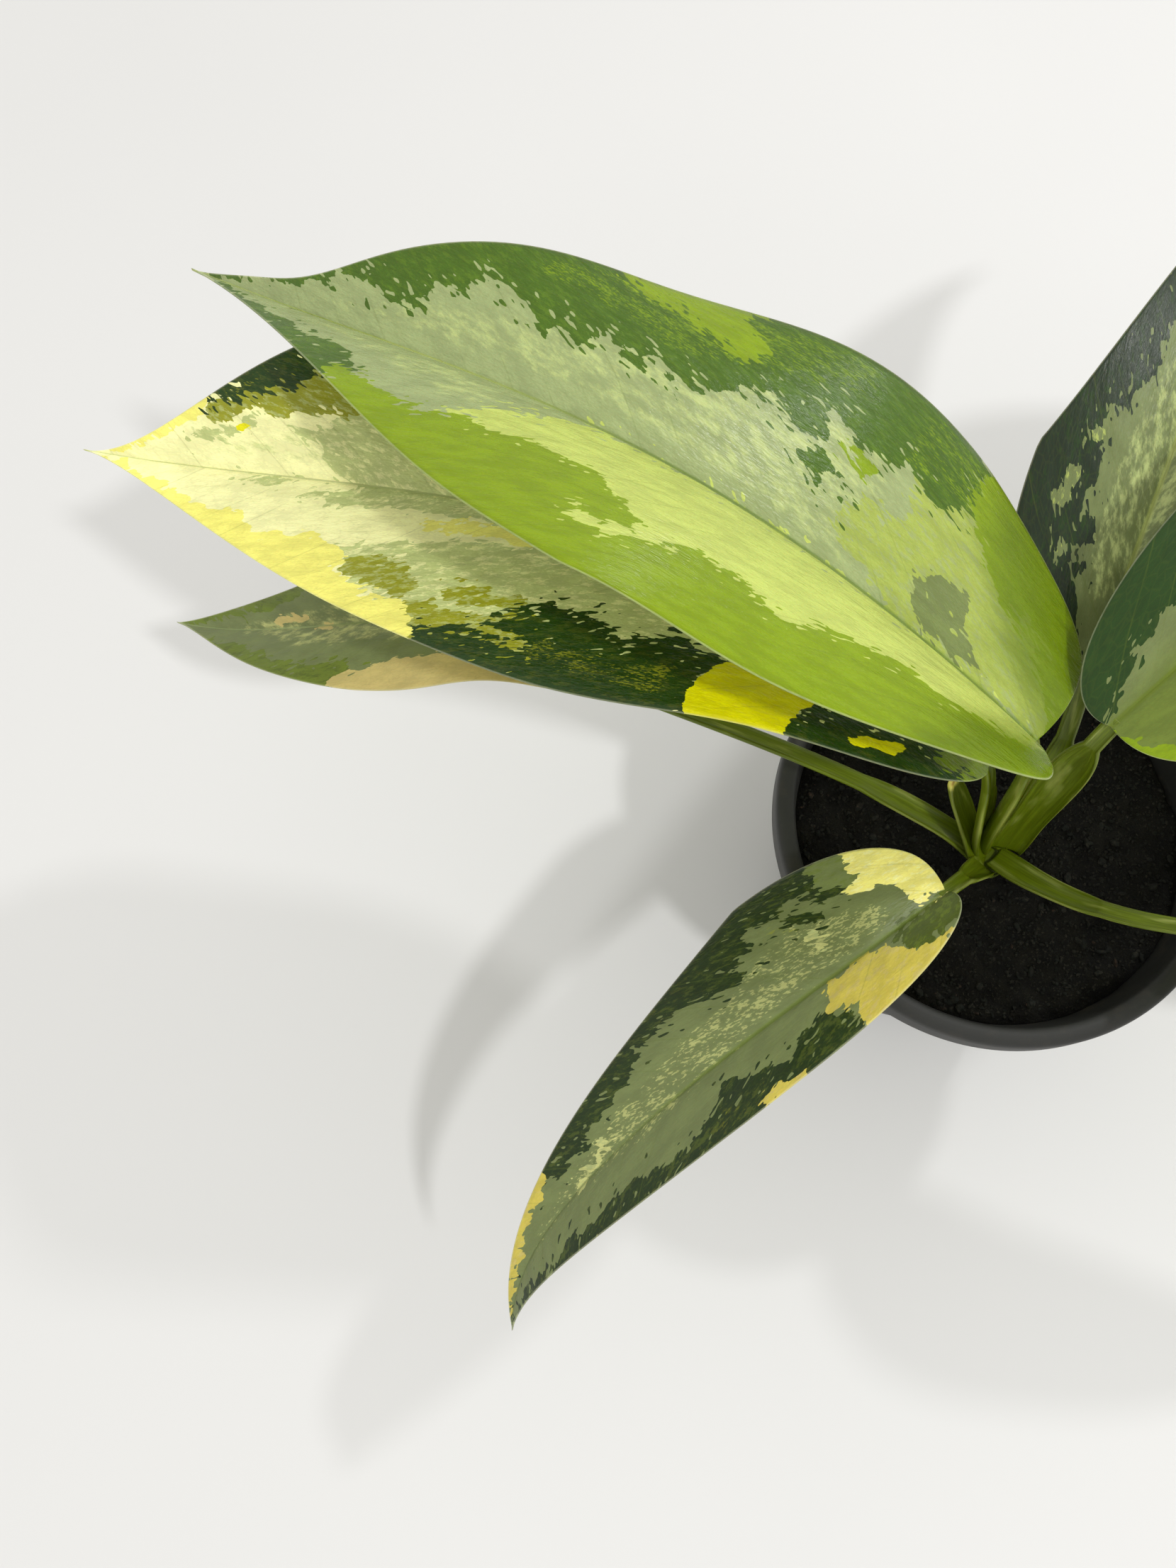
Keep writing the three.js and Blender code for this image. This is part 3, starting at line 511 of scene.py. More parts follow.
def blade_material(name, seed):
    base, layers = MARKS[name]
    t = Tree(f"{name}_skin")
    grain = t.attribute("grain", "Vector")  # across the side veins, along them, and the half
    across = t.split(grain)[0]
    reach, rib_distance, edge = t.split(t.attribute("place", "Vector"))
    under = t.attribute("under")

    def patterned(stretch, offset):
        return t.scaled(grain, (1, stretch, 1), (0, 0, seed * 7.3 + offset))

    def swing(vector, scale, detail, amount):
        """Noise about zero, in mm."""
        centred = t.math("SUBTRACT", t.noise(vector, scale, detail, 0.5), 0.5)
        return t.math("MULTIPLY", centred, 2 * amount)

    # The cells of the leaf vary a little everywhere
    tissue = t.noise(patterned(0.7, 0), 0.2, 5, 0.6)
    fine = t.noise(patterned(0.9, 3), 2.2, 3, 0.6)
    tone = t.math("MULTIPLY_ADD", fine, 0.3, t.math("MULTIPLY", tissue, 0.7))
    shading = t.mix(t.step(tone, 0.4, 0.6), shade(WHITE, 0.9), shade(WHITE, 1.08))

    def dust(offset):
        return t.noise(patterned(0.55, offset), 0.5, 5, 0.72)

    def scattered(kind, depth, offset):
        """The cover of a soft layer or a grainy one."""
        speck = dust(offset) if kind == SOFT else t.noise(patterned(0.9, offset), 1.3, 2, 0.5)
        cloud = t.math("MULTIPLY_ADD", speck, 0.6, t.math("MULTIPLY", tissue, 0.4))
        return t.step(t.math("ADD", cloud, t.step(depth, -3, 5, -0.25, 0)), *COVER[kind])

    def edged(ragged, depth, offset):
        """The cover of a layer with a ragged edge, holes in it and islands round it."""
        wander = t.math("ADD", swing(patterned(0.5, offset + 1), 0.2, 1, ragged), depth)
        wander = t.math("ADD", swing(patterned(0.5, offset + 2), 0.55, 2, ragged * 0.6), wander)
        grit = t.noise(patterned(0.42, offset + 3), 0.75, 0, 0.5)
        loose = max(0.0, ragged - CALM)
        for sign, (low, high, factor) in (("SUBTRACT", HOLES), ("ADD", ISLANDS)):
            wander = t.math(sign, wander, t.step(grit, low, high, 0, loose * factor))
        return t.step(wander, -0.08, 0.08)

    colour = linear(base)
    for number, (paint, fleck, ragged, *_) in enumerate(layers):
        depth = t.attribute(f"mark_{number}")
        offset = 11 + 5 * number
        inner = linear(paint)
        if ragged == WASH:
            mask = t.step(t.math("ADD", swing(patterned(0.5, offset), 0.1, 2, 4), depth), *COVER[WASH])
        elif ragged in (SOFT, GRAINY):
            mask = scattered(ragged, depth, offset)
        else:
            mask = edged(ragged, depth, offset)
            inner = t.mix(t.step(dust(offset), 0.5, 0.6, 0, 0.6), inner, linear(fleck))
        colour = t.mix(mask, colour, inner)
    colour = t.mix(1, colour, shading, "MULTIPLY")
    # Side veins as faint darker lines, and a net of finer ones
    bowed = t.math("ADD", swing(patterned(0.3, 1), 0.05, 1, 3), across)
    vein = t.math("PINGPONG", bowed, VEIN["spread"] * VEIN["apart"] / 2)
    line = t.step(vein, 0, 0.3, 1, 0)
    faint = t.step(t.noise(patterned(0.3, 2), 0.09, 1), 0.4, 0.58, 0.03, 0.22)
    colour = t.mix(t.math("MULTIPLY", line, faint), colour, shade(linear("moss"), 0.8))
    finer = t.net(patterned(0.5, 5), 0.5)
    colour = t.mix(t.step(finer, 0, 0.1, 0.07, 0), colour, shade(linear("moss"), 0.9))
    # The rib, and the thin pale rim of the margin: partly the leaf's own pale edge, partly a painted highlight
    # on its rolled edge
    low, high = RIBS[name]
    tint = t.mix(t.step(reach, 0.35, 0.7), linear(low), linear(high))
    width = t.step(reach, 0, 1, 1.3, 0.4)
    rib = t.step(t.math("DIVIDE", rib_distance, width), 0.3, 1, 0.6, 0)
    colour = t.mix(rib, colour, tint)
    colour = t.mix(t.step(edge, 0.15, 0.5, 0.5, 0), colour, t.mix(0.45, colour, TONES["rim"]))
    # The underside is paler and duller
    colour = t.mix(under, colour, t.mix(0.35, colour, linear("grey")))
    low, high, relief_height = SHEEN.get(name, SATIN)
    gloss = t.step(t.math("ADD", tissue, fine), 0.8, 1.2, low, high)
    rough = t.math("MULTIPLY_ADD", under, 0.25, gloss)
    pores = t.noise(patterned(1.2, 8), 0.75, 3, 0.55)
    swell = t.noise(patterned(1, 9), 0.25, 2, 0.5)
    relief = t.math("MULTIPLY_ADD", swell, 1.6, pores)
    t.bump(relief, 0.5, relief_height)
    t.set(Base_Color=colour, Roughness=rough, Specular_IOR_Level=0.34)
    t.set(Subsurface_Weight=0.06, Subsurface_Scale=0.002)
    return t.material


def make_object(name, points, faces, material, attributes=()):
    mesh = bpy.data.meshes.new(name)
    mesh.from_pydata([tuple(p) for p in np.asarray(points) * MM], [], faces)
    for key, values in dict(attributes).items():
        values = np.asarray(values, np.float32)
        kind = "FLOAT_VECTOR" if values.ndim == 2 else "FLOAT"
        layer = mesh.attributes.new(key, kind, "POINT")
        layer.data.foreach_set("vector" if values.ndim == 2 else "value", values.ravel())
    mesh.validate()
    mesh.shade_smooth()
    mesh.materials.append(material)
    made = bpy.data.objects.new(name, mesh)
    bpy.context.collection.objects.link(made)
    return made


def stand_in(made, slot, *replaced):
    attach(made, "root")
    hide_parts(*replaced)


def blade_grid(leaf):
    """Each point's shares of the length and the half width, its half, that width and its place by the rib."""
    rows, columns = BLADE["rows"], BLADE["columns"]
    shares = (np.arange(1, columns + 1) / columns) ** BLADE["crowded"]
    s_row = np.concatenate([-shares[::-1], [0.0], shares])
    u_row = (1 - np.cos(np.pi * (np.arange(1, rows) / rows) ** 1.15)) / 2
    u, s = np.meshgrid(u_row, s_row, indexing="ij")
    side = (s < 0).astype(int)
    edges, wides = zip(*(outline(leaf, k, u) for k in (0, 1)))
    reach = np.where(side == 0, *wides) * np.array(leaf["half"], float)[side]
    place = u + (np.where(side == 0, *edges) - u) * np.abs(s)
    # The base and the tip are single points
    end = BLADE["end"]
    ends = ((u, 0, 1), (s, 0, 0), (side, 0, 0), (reach, end, end), (place, 0, 1))
    return [np.concatenate([[first], grid.ravel(), [last]]) for grid, first, last in ends]


def blade_faces(rows, n):
    """A grid with a fan at the base and at the tip, the same upside down below it, and a rim between them."""
    count = 2 + (rows - 1) * n
    tip = count - 1
    faces = []
    for j in range(n - 1):
        faces.append((0, 1 + j, 2 + j))
        faces.append((tip, tip - n + j + 1, tip - n + j))
    for i in range(rows - 2):
        for j in range(n - 1):
            a = 1 + i * n + j
            faces.append((a, a + n, a + n + 1, a + 1))
    faces += [tuple(k + count for k in reversed(face)) for face in faces]
    left = [1 + i * n for i in range(rows - 1)]
    right = [a + n - 1 for a in reversed(left)]
    rim = [0] + left + [tip] + right
    return faces + [(a, a + count, b + count, b) for a, b in zip(rim, rim[1:] + rim[:1])]


def make_blade(name, seed):
    """A fine blade on the same surface as the solid one: a grid on its upper face and one below it."""
    leaf = LEAVES[name]
    curve = rib_curve(leaf)
    length = curve_length(curve)
    u, s, side, reach, place = blade_grid(leaf)
    y = s * reach
    away = np.abs(y)
    inward = 1 - np.abs(s)
    # The side veins leave the rib at 45 degrees and bend towards the tip
    slope = 1 + VEIN["bend"] * away
    start = place * length - away * (1 + slope) / 2
    along = slope * np.hypot(1, slope) + np.arcsinh(slope) - math.sqrt(2) - math.asinh(1)
    grain = [VEIN["spread"] * start, along / (2 * VEIN["bend"]), side * OTHER_HALF]
    # Relief: the tissue swells between the side veins, and the rib lies in a channel
    fade = np.clip(away / SWELL_FADE["rib"], 0, 1) * np.clip(inward * SWELL_FADE["margin"], 0, 1)
    fade = fade * np.clip((1 - u) * SWELL_FADE["tip"], 0, 1)
    quilt = VEIN["swell"] * fade * (np.abs(np.sin(np.pi * start / VEIN["apart"])) - 0.5)
    rib_width = BLADE["rib_width"] * (1 - BLADE["rib_taper"] * u)
    channel = BLADE["channel"] * (1 - u) ** 0.5 * np.exp(-((away / (0.6 * rib_width)) ** 2))
    thick = BLADE["edge"] + (BLADE["thickness"] - BLADE["edge"]) * (1 - np.abs(s) ** 6)
    round_rib = np.sqrt(np.maximum(0, 1 - (away / (1.1 * rib_width)) ** 2))
    top = thick / 2 + quilt - channel
    below = -thick / 2 + quilt - BLADE["rib_depth"] * (1 - u) ** 0.7 * round_rib
    points = [blade_surface(leaf, curve, length, place, y, side, off) for off in (top, below)]

    def twice(values):
        return np.concatenate([values, values])

    attributes = {
        "grain": twice(np.stack(grain, axis=1)),
        "place": twice(np.stack([u, away, inward * reach], axis=1)),
        "under": np.repeat([0.0, 1.0], len(u)),
    }
    for number, (_, _, _, *patches) in enumerate(MARKS[name][1]):
        depth = np.full(len(u), OUTSIDE)
        for patch in patches:
            depth = np.maximum(depth, patch_depth(patch, u, s, length, reach))
        attributes[f"mark_{number}"] = twice(depth)
    faces = blade_faces(BLADE["rows"], 2 * BLADE["columns"] + 1)
    material = blade_material(name, seed)
    blade = make_object(f"{name}_lamina", np.concatenate(points), faces, material, attributes)
    stand_in(blade, f"blade_{name[-1]}", f"{name}_blade")


def stem_material(name, seed, tip=None):
    """The skin of a petiole, dried and burnt at a tip, given in mm along it."""
    t = Tree(f"{name}_skin")
    grain = t.attribute("grain", "Vector")  # round the stem, along it, and how near to the edge of a wing
    _, along, wing = t.split(grain)
    streaks = t.noise(t.scaled(grain, (3.2, 0.05, 0), (0, 0, seed)), 1, 4, 0.6)
    blotch = t.noise(t.scaled(grain, (0.5, 0.05, 0), (0, 0, seed + 4)), 1, 3, 0.5)
    colour = t.mix(t.step(streaks, 0.35, 0.68), shade(linear("stem"), 0.72), shade(linear("stem"), 1.15))
    colour = t.mix(t.step(blotch, 0.52, 0.72, 0, 0.5), colour, linear("stem_light"))
    film = t.math("MULTIPLY", t.step(wing, 0.25, 0.85), t.step(streaks, 0.2, 0.7, 0.6, 0.95))
    colour = t.mix(film, colour, shade(linear("stem_light"), 1.15))
    if tip:
        dried = t.step(t.math("MULTIPLY_ADD", blotch, 3, along), tip - 2.2, tip + 1.2)
        colour = t.mix(dried, colour, linear("yellow"))
        burnt = t.step(t.math("MULTIPLY_ADD", blotch, 4, along), tip + 0.8, tip + 3.2)
        colour = t.mix(burnt, colour, TONES["burnt"])
    ridges = t.noise(t.scaled(grain, (4.5, 0.04, 0)), 1, 3, 0.6)
    t.bump(ridges, 0.3, 0.0003)
    t.set(Base_Color=colour, Roughness=t.step(streaks, 0.3, 0.7, 0.32, 0.44))
    t.set(Specular_IOR_Level=0.45, Subsurface_Weight=0.08, Subsurface_Scale=0.002)
    return t.material


def petiole_ring(width, depth, channel, winged, dome):
    """A section across a petiole: round below, and above it the groove between the wings of its sheath."""
    back, front = PETIOLE["back"], PETIOLE["front"]
    narrow = width - (PETIOLE["film"] + 0.5 * (1 - winged)) * dome
    turns = [math.pi * j / back for j in range(back + 1)]
    ring = [(width * math.cos(turn), -depth * math.sin(turn)) for turn in turns]
    for j in range(front + 1):
        turn = math.pi * (1 - j / front)
        ring.append((narrow * math.cos(turn), PETIOLE["edge"] * dome - channel * math.sin(turn) ** 0.8))
    return ring


def tube_faces(stations, n):
    faces = []
    for i in range(stations):
        for j in range(n):
            a, b = i * n + j, i * n + (j + 1) % n
            faces.append((a, b, b + n, a + n))
    faces.append(tuple(reversed(range(n))))
    faces.append(tuple(range(stations * n, stations * n + n)))
    return faces


def make_petiole(name, leaf, end, heading, across, seed, replaced, tip=False):
    """A petiole from the cane to its end; one with a tip is cut off, and ends in a dome."""
    bearing = math.radians(leaf["root"][0])
    foot = np.array([CANE["x"], CANE["y"], leaf["root"][1]], float)
    foot[:2] += PETIOLE["start"] * np.array([math.cos(bearing), math.sin(bearing)])
    curve = (foot, np.array(leaf["handle"], float), end - heading * PETIOLE["bend"], end)
    length = curve_length(curve)
    start = np.cross(UP, unit((end - foot) * (1, 1, 0)))
    across = start if across is None else across
    share, wing = leaf["sheath"]
    openness = 0.4 if tip else 1.0  # of the groove
    stations, sunk = PETIOLE["stations"], PETIOLE["sunk"] / length
    points, grain = [], []
    for i in range(stations + 1):
        s = (1 + sunk) * i / stations - sunk
        below, s = min(0.0, s), max(0.0, s)
        tangent = bezier_heading(curve, s)
        clasp = PETIOLE["clasp"] * math.exp(-(((s - below) * length / PETIOLE["clasp_length"]) ** 2))
        left = start + (across - start) * s
        left = unit(left - tangent * (left @ tangent))
        upper = np.cross(tangent, left)
        a = min(1.0, s / share)
        winged = PETIOLE["sheath_foot"] + (1 - PETIOLE["sheath_foot"]) * a
        winged *= 1 - a ** PETIOLE["sheath_end"]
        capped = max(0.0, 1 - (1 - s) * length / PETIOLE["cap"]) if tip else 0.0
        dome = math.sqrt(1 - 0.97 * capped**2)
        radius = PETIOLE["radius"] - PETIOLE["taper"] * s
        width = (radius + wing * winged + clasp) * dome
        depth = (radius + 0.4 * clasp) * dome
        channel = (PETIOLE["groove"] + (depth - PETIOLE["floor"]) * winged * openness) * dome
        place = bezier(curve, s) + tangent * (below * length)
        ring = petiole_ring(width, depth, channel, winged, dome)
        for k, (p, q) in enumerate(ring):
            points.append(place - left * p + upper * q)
            inside = PETIOLE["inner_film"] if k > PETIOLE["back"] + 1 else 0.0
            edge = max((abs(p) / width) ** 8, inside) * winged if q > -depth * 0.75 or inside else 0.0
            grain.append((4.0 * k / len(ring) * math.pi, s * length, edge))
    material = stem_material(name, seed, length if tip else None)
    made = make_object(name, points, tube_faces(stations, len(ring)), material, {"grain": grain})
    stand_in(made, "petiole", replaced)


def make_leaves():
    for seed, (name, leaf) in enumerate(LEAVES.items()):
        make_blade(name, seed)
        curve = rib_curve(leaf)
        heading = bezier_heading(curve, 0.0)
        end = curve[0] + heading * PETIOLE["into"]
        _, left, _ = blade_frame(leaf, curve, curve_length(curve), np.array(0.0))
        make_petiole(f"{name}_stalk", leaf, end, heading, left, seed, f"{name}_petiole")
    heading = unit(np.array(STUB["heading"]))
    end = np.array(STUB["end"], float)
    make_petiole("cut_stalk", STUB, end, heading, None, 9, "cut_petiole", tip=True)


# The pot, the soil and the cane

POT = {
    "height": 125, "rim_radius": 76, "rim_width": 7, "skirt": 11, "lip": 3, "wall": 1.6, "base_radius": 53,
    "foot": 2.4, "foot_width": 4, "pad": 22, "fillet": 4, "rounding": 1.4, "sides": 192,
    "holes": 8, "hole_radius": 5, "hole_circle": 35, "hole_depth": 30, "notches": 4, "notch": (16, 9, 3.6),
}
SOIL = {
    "level": 110, "lump": 1.1, "mound": 1.5, "spread": 26, "rough": 0.75, "edge": 0.93, "edge_width": 0.07,
    "edge_drop": 1.8, "gap": 0.3, "rings": 90, "sides": 220,
}
CRUMBS = {"seed": 4, "count": 4200, "large_every": 24, "large": (1, 1.9), "small": (0.35, 0.9), "bent": 0.35}


def lathe(profile, sides):
    """Turns a profile of (radius, height) about the upright axis, on which its first and last points lie."""
    inner = profile[1:-1]
    points = [(0, 0, profile[0][1]), (0, 0, profile[-1][1])]
    for j in range(sides):
        turn = 2 * math.pi * j / sides
        points += [(r * math.cos(turn), r * math.sin(turn), z) for r, z in inner]
    n = len(inner)
    faces = []
    for j in range(sides):
        a = 2 + j * n
        b = 2 + (j + 1) % sides * n
        faces.append((0, a, b))
        faces.append((1, b + n - 1, a + n - 1))
        faces += [(a + k, a + k + 1, b + k + 1, b + k) for k in range(n - 1)]
    return points, faces


def rounded(corners, radius, steps=4):
    """A profile with its corners rounded off, each as far as its neighbours allow."""
    result = [corners[0]]
    for before, corner, after in zip(corners, corners[1:], corners[2:]):
        p, c, q = (np.array(v, float) for v in (before, corner, after))
        cut = min(radius, np.linalg.norm(p - c) / 2.2, np.linalg.norm(q - c) / 2.2)
        a = c + unit(p - c) * cut
        b = c + unit(q - c) * cut
        for k in range(steps + 1):
            t = k / steps
            result.append(tuple(a * (1 - t) ** 2 + 2 * c * t * (1 - t) + b * t * t))
    result.append(corners[-1])
    return result


def plastic():
    t = Tree("pot_plastic")
    place = t.place()
    cloud = t.noise(place, 28, 5, 0.6)
    grain = t.noise(place, 900, 3, 0.6)
    scuff = t.step(t.noise(t.scaled(place, (1, 1, 6)), 60, 6, 0.72), 0.6, 0.74)
    colour = t.mix(cloud, TONES["plastic"], TONES["worn"])
    colour = t.mix(t.math("MULTIPLY", scuff, 0.3), colour, TONES["scuff"])
    _, _, height = t.split(place)
    settled = t.step(height, 0.108, 0.118, 0.5, 0.1)  # more dust below the rim, by the height in metres
    dust = t.math("MULTIPLY", t.step(t.noise(place, 130, 5, 0.7), 0.5, 0.7), settled)
    colour = t.mix(dust, colour, TONES["dust"])
    t.bump(t.math("MULTIPLY_ADD", cloud, 0.8, grain), 0.25, 0.0002)
    t.set(Base_Color=colour, Roughness=t.step(t.math("ADD", cloud, scuff), 0.3, 1.4, 0.55, 0.72))
    t.set(Specular_IOR_Level=0.45)
    return t.material


def places_round(count, radius, shift=0.0):
    """The bearings and the places, in metres, of things in a ring round the pot's axis."""
    for i in range(count):
        turn = 2 * math.pi * (i + shift) / count
        yield turn, (radius * math.cos(turn) * MM, radius * math.sin(turn) * MM, 0)


def make_pot():
    p = POT
    rim, base, top = p["rim_radius"], p["base_radius"], p["height"]
    inside = rim - p["rim_width"]
    foot = base - p["foot_width"]
    floor = p["foot"] + p["wall"]
    under_lip, skirt = top - p["lip"], top - p["skirt"]
    corners = [
        (0, 0), (p["pad"], 0), (p["pad"] + 0.8, p["foot"]), (foot - 0.8, p["foot"]), (foot, 0),
        (base - 1.8, 0), (base - 1, 0.8), (base, p["foot"] + 5),
        (inside + p["wall"] + 0.3, under_lip), (rim - 2, under_lip), (rim - 1.8, skirt), (rim, skirt),
        (rim, top - 2.2), (rim - 0.5, top - 0.6), (rim - 2, top),
        (inside + 2.6, top), (inside + 0.8, top - 0.8), (inside, under_lip),
        (base - p["wall"], floor + p["fillet"]), (base - p["wall"] - 1, floor + 1.2),
        (base - p["wall"] - p["fillet"], floor), (0, floor),
    ]
    points, faces = lathe(rounded(corners, p["rounding"]), p["sides"])
    pot = make_object("pot_shell", points, faces, plastic())
    cutters = []
    size = {"vertices": 40, "radius": p["hole_radius"] * MM, "depth": p["hole_depth"] * MM}
    for _, place in places_round(p["holes"], p["hole_circle"]):
        bpy.ops.mesh.primitive_cylinder_add(location=place, **size)
        cutters.append(bpy.context.object)
    for turn, place in places_round(p["notches"], base, 0.5):
        bpy.ops.mesh.primitive_cube_add(size=1, location=place, rotation=(0, 0, turn))
        bpy.context.object.scale = Vector(p["notch"]) * MM
        cutters.append(bpy.context.object)
    cut_all(pot, cutters)
    stand_in(pot, "pot", "pot")


def cut_all(target, cutters):
    group = bpy.data.collections.new("cutters")
    for cutter in cutters:
        group.objects.link(cutter)
    cut = target.modifiers.new("cut", "BOOLEAN")
    cut.operation = "DIFFERENCE"
    cut.operand_type = "COLLECTION"
    cut.collection = group
    cut.solver = "EXACT"
    bpy.context.view_layer.update()
    done = bpy.data.meshes.new_from_object(target.evaluated_get(bpy.context.evaluated_depsgraph_get()))
    target.modifiers.clear()
    target.data = done
    for cutter in cutters:
        bpy.data.objects.remove(cutter)
    bpy.data.collections.remove(group)


def soil_height(x, y):
    away = math.hypot(x - CANE["x"], y - CANE["y"])
    mound = SOIL["mound"] * math.exp(-((away / SOIL["spread"]) ** 2))
    coarse = math.sin(x * 0.19 + 1.3) * math.cos(y * 0.23 - 0.4)
    fine = math.sin(x * 0.29 - y * 0.21) * math.cos(y * 0.33 + x * 0.13)
    return SOIL["level"] + mound + SOIL["lump"] * (coarse + 0.7 * fine)


def edge_drop(r, outer):
    """How far the soil sinks towards the wall of the pot."""
    return SOIL["edge_drop"] * max(0, (r / outer - SOIL["edge"]) / SOIL["edge_width"]) ** 2


def soil_radius():
    p = POT
    inner, outer = p["base_radius"] - p["wall"], p["rim_radius"] - p["rim_width"]
    low = p["foot"] + p["wall"] + p["fillet"]
    return inner + (outer - inner) * (SOIL["level"] - low) / (p["height"] - p["lip"] - low) - SOIL["gap"]


def peat():
    t = Tree("soil_peat")
    place = t.place()
    clod = t.noise(place, 130, 5, 0.65)
    grit = t.noise(place, 900, 4, 0.7)
    colour = t.mix(t.step(clod, 0.35, 0.7), TONES["peat"], TONES["dry_peat"])
    colour = t.mix(t.step(grit, 0.56, 0.66, 0, 0.8), colour, TONES["grit"])
    t.bump(t.math("MULTIPLY_ADD", clod, 1.5, grit), 0.9, 0.0016)
    t.set(Base_Color=colour, Roughness=t.step(grit, 0.3, 0.7, 0.72, 0.95))
    t.set(Specular_IOR_Level=0.3)
    return t.material


def crumbs():
    t = Tree("soil_crumbs")
    place = t.place()
    tone = t.attribute("tone")
    grain = t.noise(t.scaled(place, (1, 1, 3)), 700, 4, 0.7)
    colour = t.mix(t.step(tone, 0, 0.9), TONES["crumb"], TONES["dry_crumb"])
    colour = t.mix(t.step(tone, 0.96, 0.98), colour, TONES["chip"])
    colour = t.mix(t.step(grain, 0.4, 0.7), shade(linear("black"), 0.12), colour)
    t.bump(grain, 0.6, 0.0005)
    t.set(Base_Color=colour, Roughness=t.step(grain, 0.3, 0.7, 0.65, 0.9))
    t.set(Specular_IOR_Level=0.35)
    return t.material


def make_soil():
    outer = soil_radius()
    rings, sides = SOIL["rings"], SOIL["sides"]
    turns = [2 * math.pi * j / sides for j in range(sides)]
    points = [(0, 0, soil_height(0, 0))]
    for ring in range(1, rings + 1):
        r = outer * ring / rings
        for turn in turns:
            x, y = r * math.cos(turn), r * math.sin(turn)
            rough = noise.fractal(Vector((x, y, 0)) * 0.22, 0.9, 2.1, 5)
            points.append((x, y, soil_height(x, y) + SOIL["rough"] * rough - edge_drop(r, outer)))
    floor = POT["foot"] + POT["wall"] + SOIL["gap"]
    base = POT["base_radius"] - POT["wall"] - 0.4
    for r, z in ((base, floor + POT["fillet"]), (base - 5, floor)):
        points += [(r * math.cos(turn), r * math.sin(turn), z) for turn in turns]
    points.append((0, 0, floor))
    faces = [(0, 1 + j, 1 + (j + 1) % sides) for j in range(sides)]
    for ring in range(rings + 1):
        for j in range(sides):
            a = 1 + ring * sides + j
            b = 1 + ring * sides + (j + 1) % sides
            faces.append((a, a + sides, b + sides, b))
    last = 1 + (rings + 1) * sides
    faces += [(len(points) - 1, last + (j + 1) % sides, last + j) for j in range(sides)]
    soil = make_object("soil_surface", points, faces, peat())
    stand_in(soil, "soil", "soil")
    make_crumbs(outer)


def make_crumbs(outer):
    """Grains and chips of bark, scattered thickly, each a lump with a bent shape of its own."""
    draw = random.Random(CRUMBS["seed"])
    grain, chip = icosphere(1), icosphere(2)
    points, faces, tones = [], [], []
    for i in range(CRUMBS["count"]):
        large = i % CRUMBS["large_every"] == 0
        r = (outer - 1.5) * math.sqrt(draw.random())
        turn = 2 * math.pi * draw.random()
        x, y = r * math.cos(turn), r * math.sin(turn)
        if math.hypot(x - CANE["x"], y - CANE["y"]) < CANE["radius"] + 3:
            continue
        size = draw.uniform(*CRUMBS["large" if large else "small"])
        stretch = (1, draw.uniform(0.45, 0.9), draw.uniform(0.3, 0.8))
        spin, tilt = 2 * math.pi * draw.random(), draw.uniform(-0.6, 0.6)
        tone = draw.random()
        sink = draw.uniform(-0.1, 0.45) * size
        z = soil_height(x, y) + sink - edge_drop(r, outer)
        shape, sides = chip if large else grain
        first = len(points)
        for vertex in shape:
            bent = 1 + CRUMBS["bent"] * noise.noise(vertex * 1.7 + Vector((i, 0, 0)))
            a, b, c = (vertex[k] * stretch[k] * size * bent for k in range(3))
            b, c = b * math.cos(tilt) - c * math.sin(tilt), b * math.sin(tilt) + c * math.cos(tilt)
            a, b = a * math.cos(spin) - b * math.sin(spin), a * math.sin(spin) + b * math.cos(spin)
            points.append((x + a, y + b, z + c))
            tones.append(tone)
        faces += [tuple(first + k for k in face) for face in sides]
    made = make_object("soil_crumbs", points, faces, crumbs(), {"tone": tones})
    made.data.shade_flat()
    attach(made, "root")


def icosphere(level):
    bpy.ops.mesh.primitive_ico_sphere_add(subdivisions=level, radius=1)
    ball = bpy.context.object
    shape = [v.co.copy() for v in ball.data.vertices], [tuple(p.vertices) for p in ball.data.polygons]
    bpy.data.objects.remove(ball)
    return shape


def bark():
    t = Tree("cane_bark_and_shade")
    place = t.place()
    rings = t.noise(t.scaled(place, (0.3, 0.3, 3)), 260, 4, 0.6)
    # The stem green darkened to 0.4 and 0.8: the cane's own dark colour and painted shade deep in the crown
    # among the petioles
    colour = t.mix(t.step(rings, 0.35, 0.65), shade(linear("stem"), 0.4), shade(linear("stem"), 0.8))
    t.bump(rings, 0.5, 0.0005)
    t.set(Base_Color=colour, Roughness=t.step(rings, 0.3, 0.7, 0.5, 0.75))
    return t.material


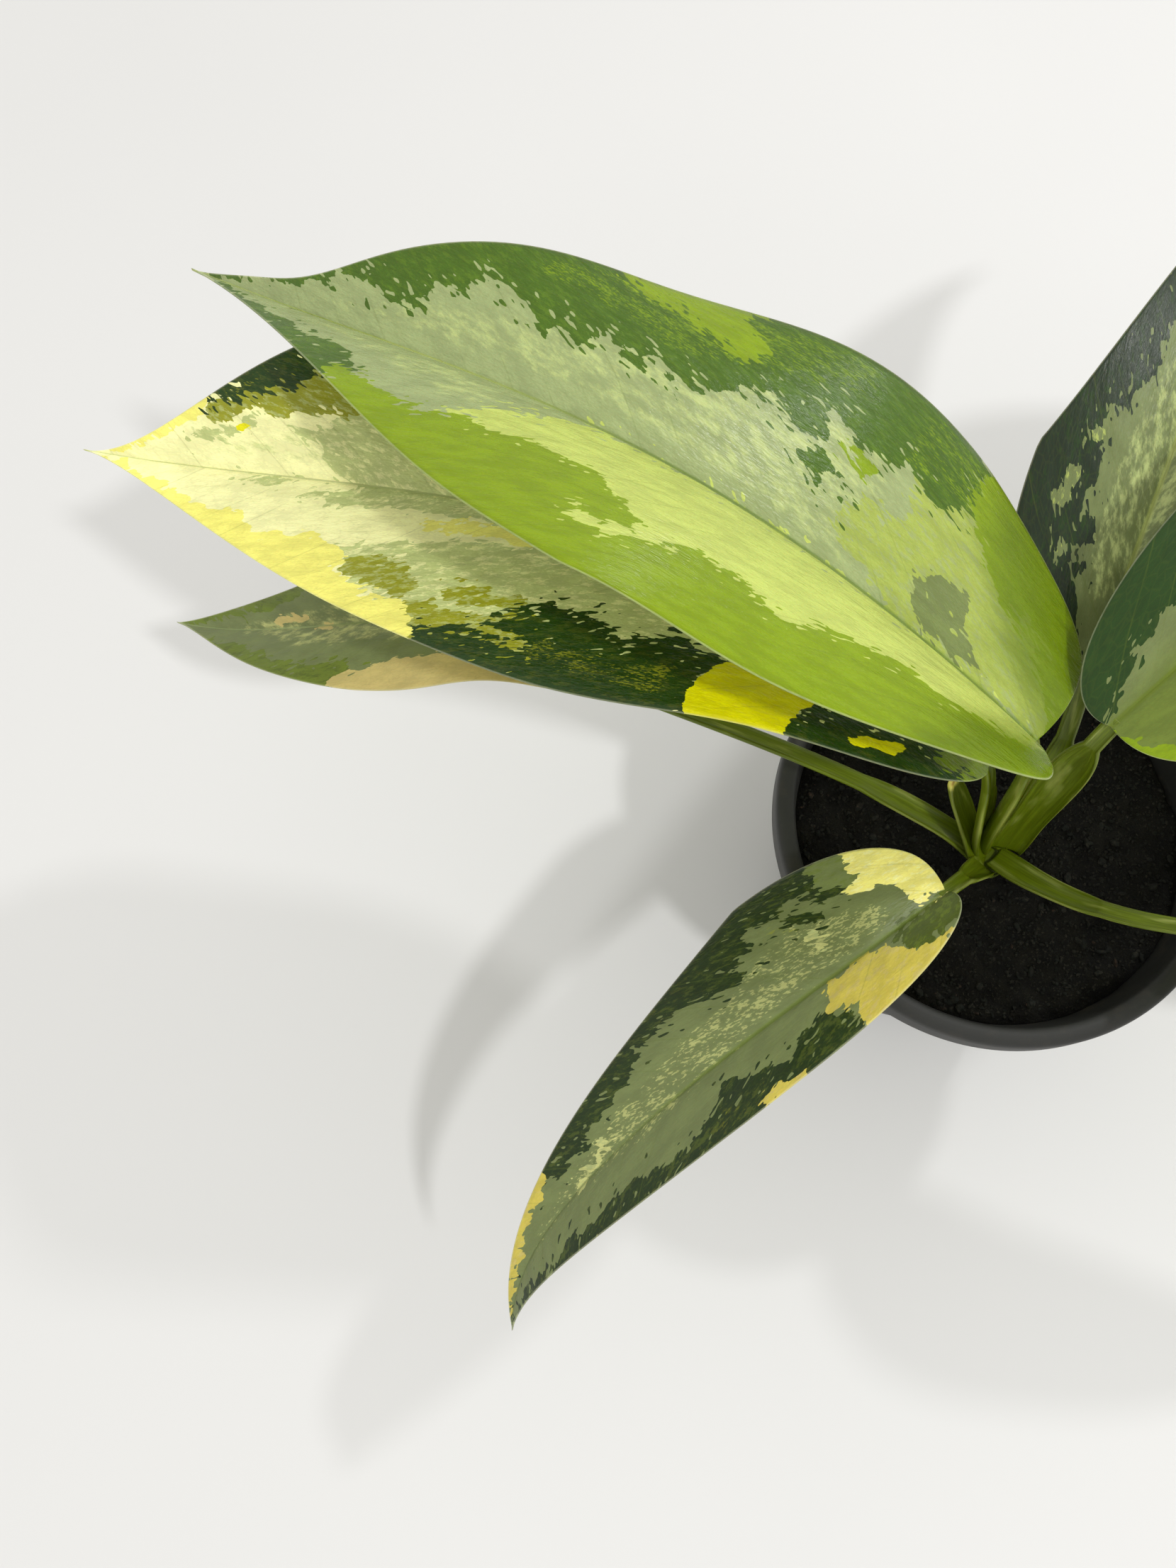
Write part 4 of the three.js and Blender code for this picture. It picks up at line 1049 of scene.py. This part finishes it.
def make_cane():
    radius, top = CANE["radius"], CANE["crown"]
    corners = [(0, CANE["bottom"]), (radius, CANE["bottom"])]
    for i in range(2):
        z = CANE["ring"] + CANE["ring_step"] * i
        corners += [(radius, z), (radius + 0.6, z + 0.5), (radius, z + 1)]
    corners += [(radius, top - 1.5), (radius * 0.7, top), (0, top)]
    points, faces = lathe(rounded(corners, 0.8), 48)
    points = [(x + CANE["x"], y + CANE["y"], z) for x, y, z in points]
    cane = make_object("cane_core", points, faces, bark())
    stand_in(cane, "cane", "cane")


make_leaves()
make_cane()
make_soil()
make_pot()

# The room: a pale floor, light all round, and two lamps on the right, one in front and one behind

LIGHT_ALL_ROUND = 0.84
# Bearing and height above the horizon in degrees, size in metres and power in watts
LAMPS = {"key": (-47, 60, 0.12, 12), "back": (41, 49, 0.14, 7.5)}
LAMP_DISTANCE = 1900
LIT_PLACE = (-60, 0, 150)


def make_room():
    bpy.ops.mesh.primitive_plane_add(size=6, location=(0, 0, 0))
    floor = bpy.context.object
    floor.name = "floor"
    t = Tree("floor_pale")
    t.set(Base_Color=t.mix(t.noise(t.place(), 3, 2), TONES["floor"], TONES["pale_floor"]), Roughness=0.8)
    floor.data.materials.append(t.material)
    world = bpy.data.worlds.new("studio")
    world.use_nodes = True
    background = world.node_tree.nodes["Background"].inputs
    background["Color"].default_value = TONES["sky"]
    background["Strength"].default_value = LIGHT_ALL_ROUND
    bpy.context.scene.world = world
    bpy.context.scene.view_settings.view_transform = "Standard"
    for name, lamp in LAMPS.items():
        add_lamp(name, *lamp)
    bpy.data.objects["key"].visible_glossy = False  # a light as soft as the real one has no highlight


def add_lamp(name, bearing, height, size, power):
    data = bpy.data.lights.new(name, "AREA")
    data.shape = "DISK"
    data.size = size
    data.energy = power
    light = bpy.data.objects.new(name, data)
    turn, lift = math.radians(bearing), math.radians(height)
    away = Vector((math.cos(lift) * math.cos(turn), math.cos(lift) * math.sin(turn), math.sin(lift)))
    light.location = Vector(LIT_PLACE) * MM + LAMP_DISTANCE * MM * away
    light.rotation_euler = (-away).to_track_quat("-Z", "Y").to_euler()
    bpy.context.collection.objects.link(light)


make_room()
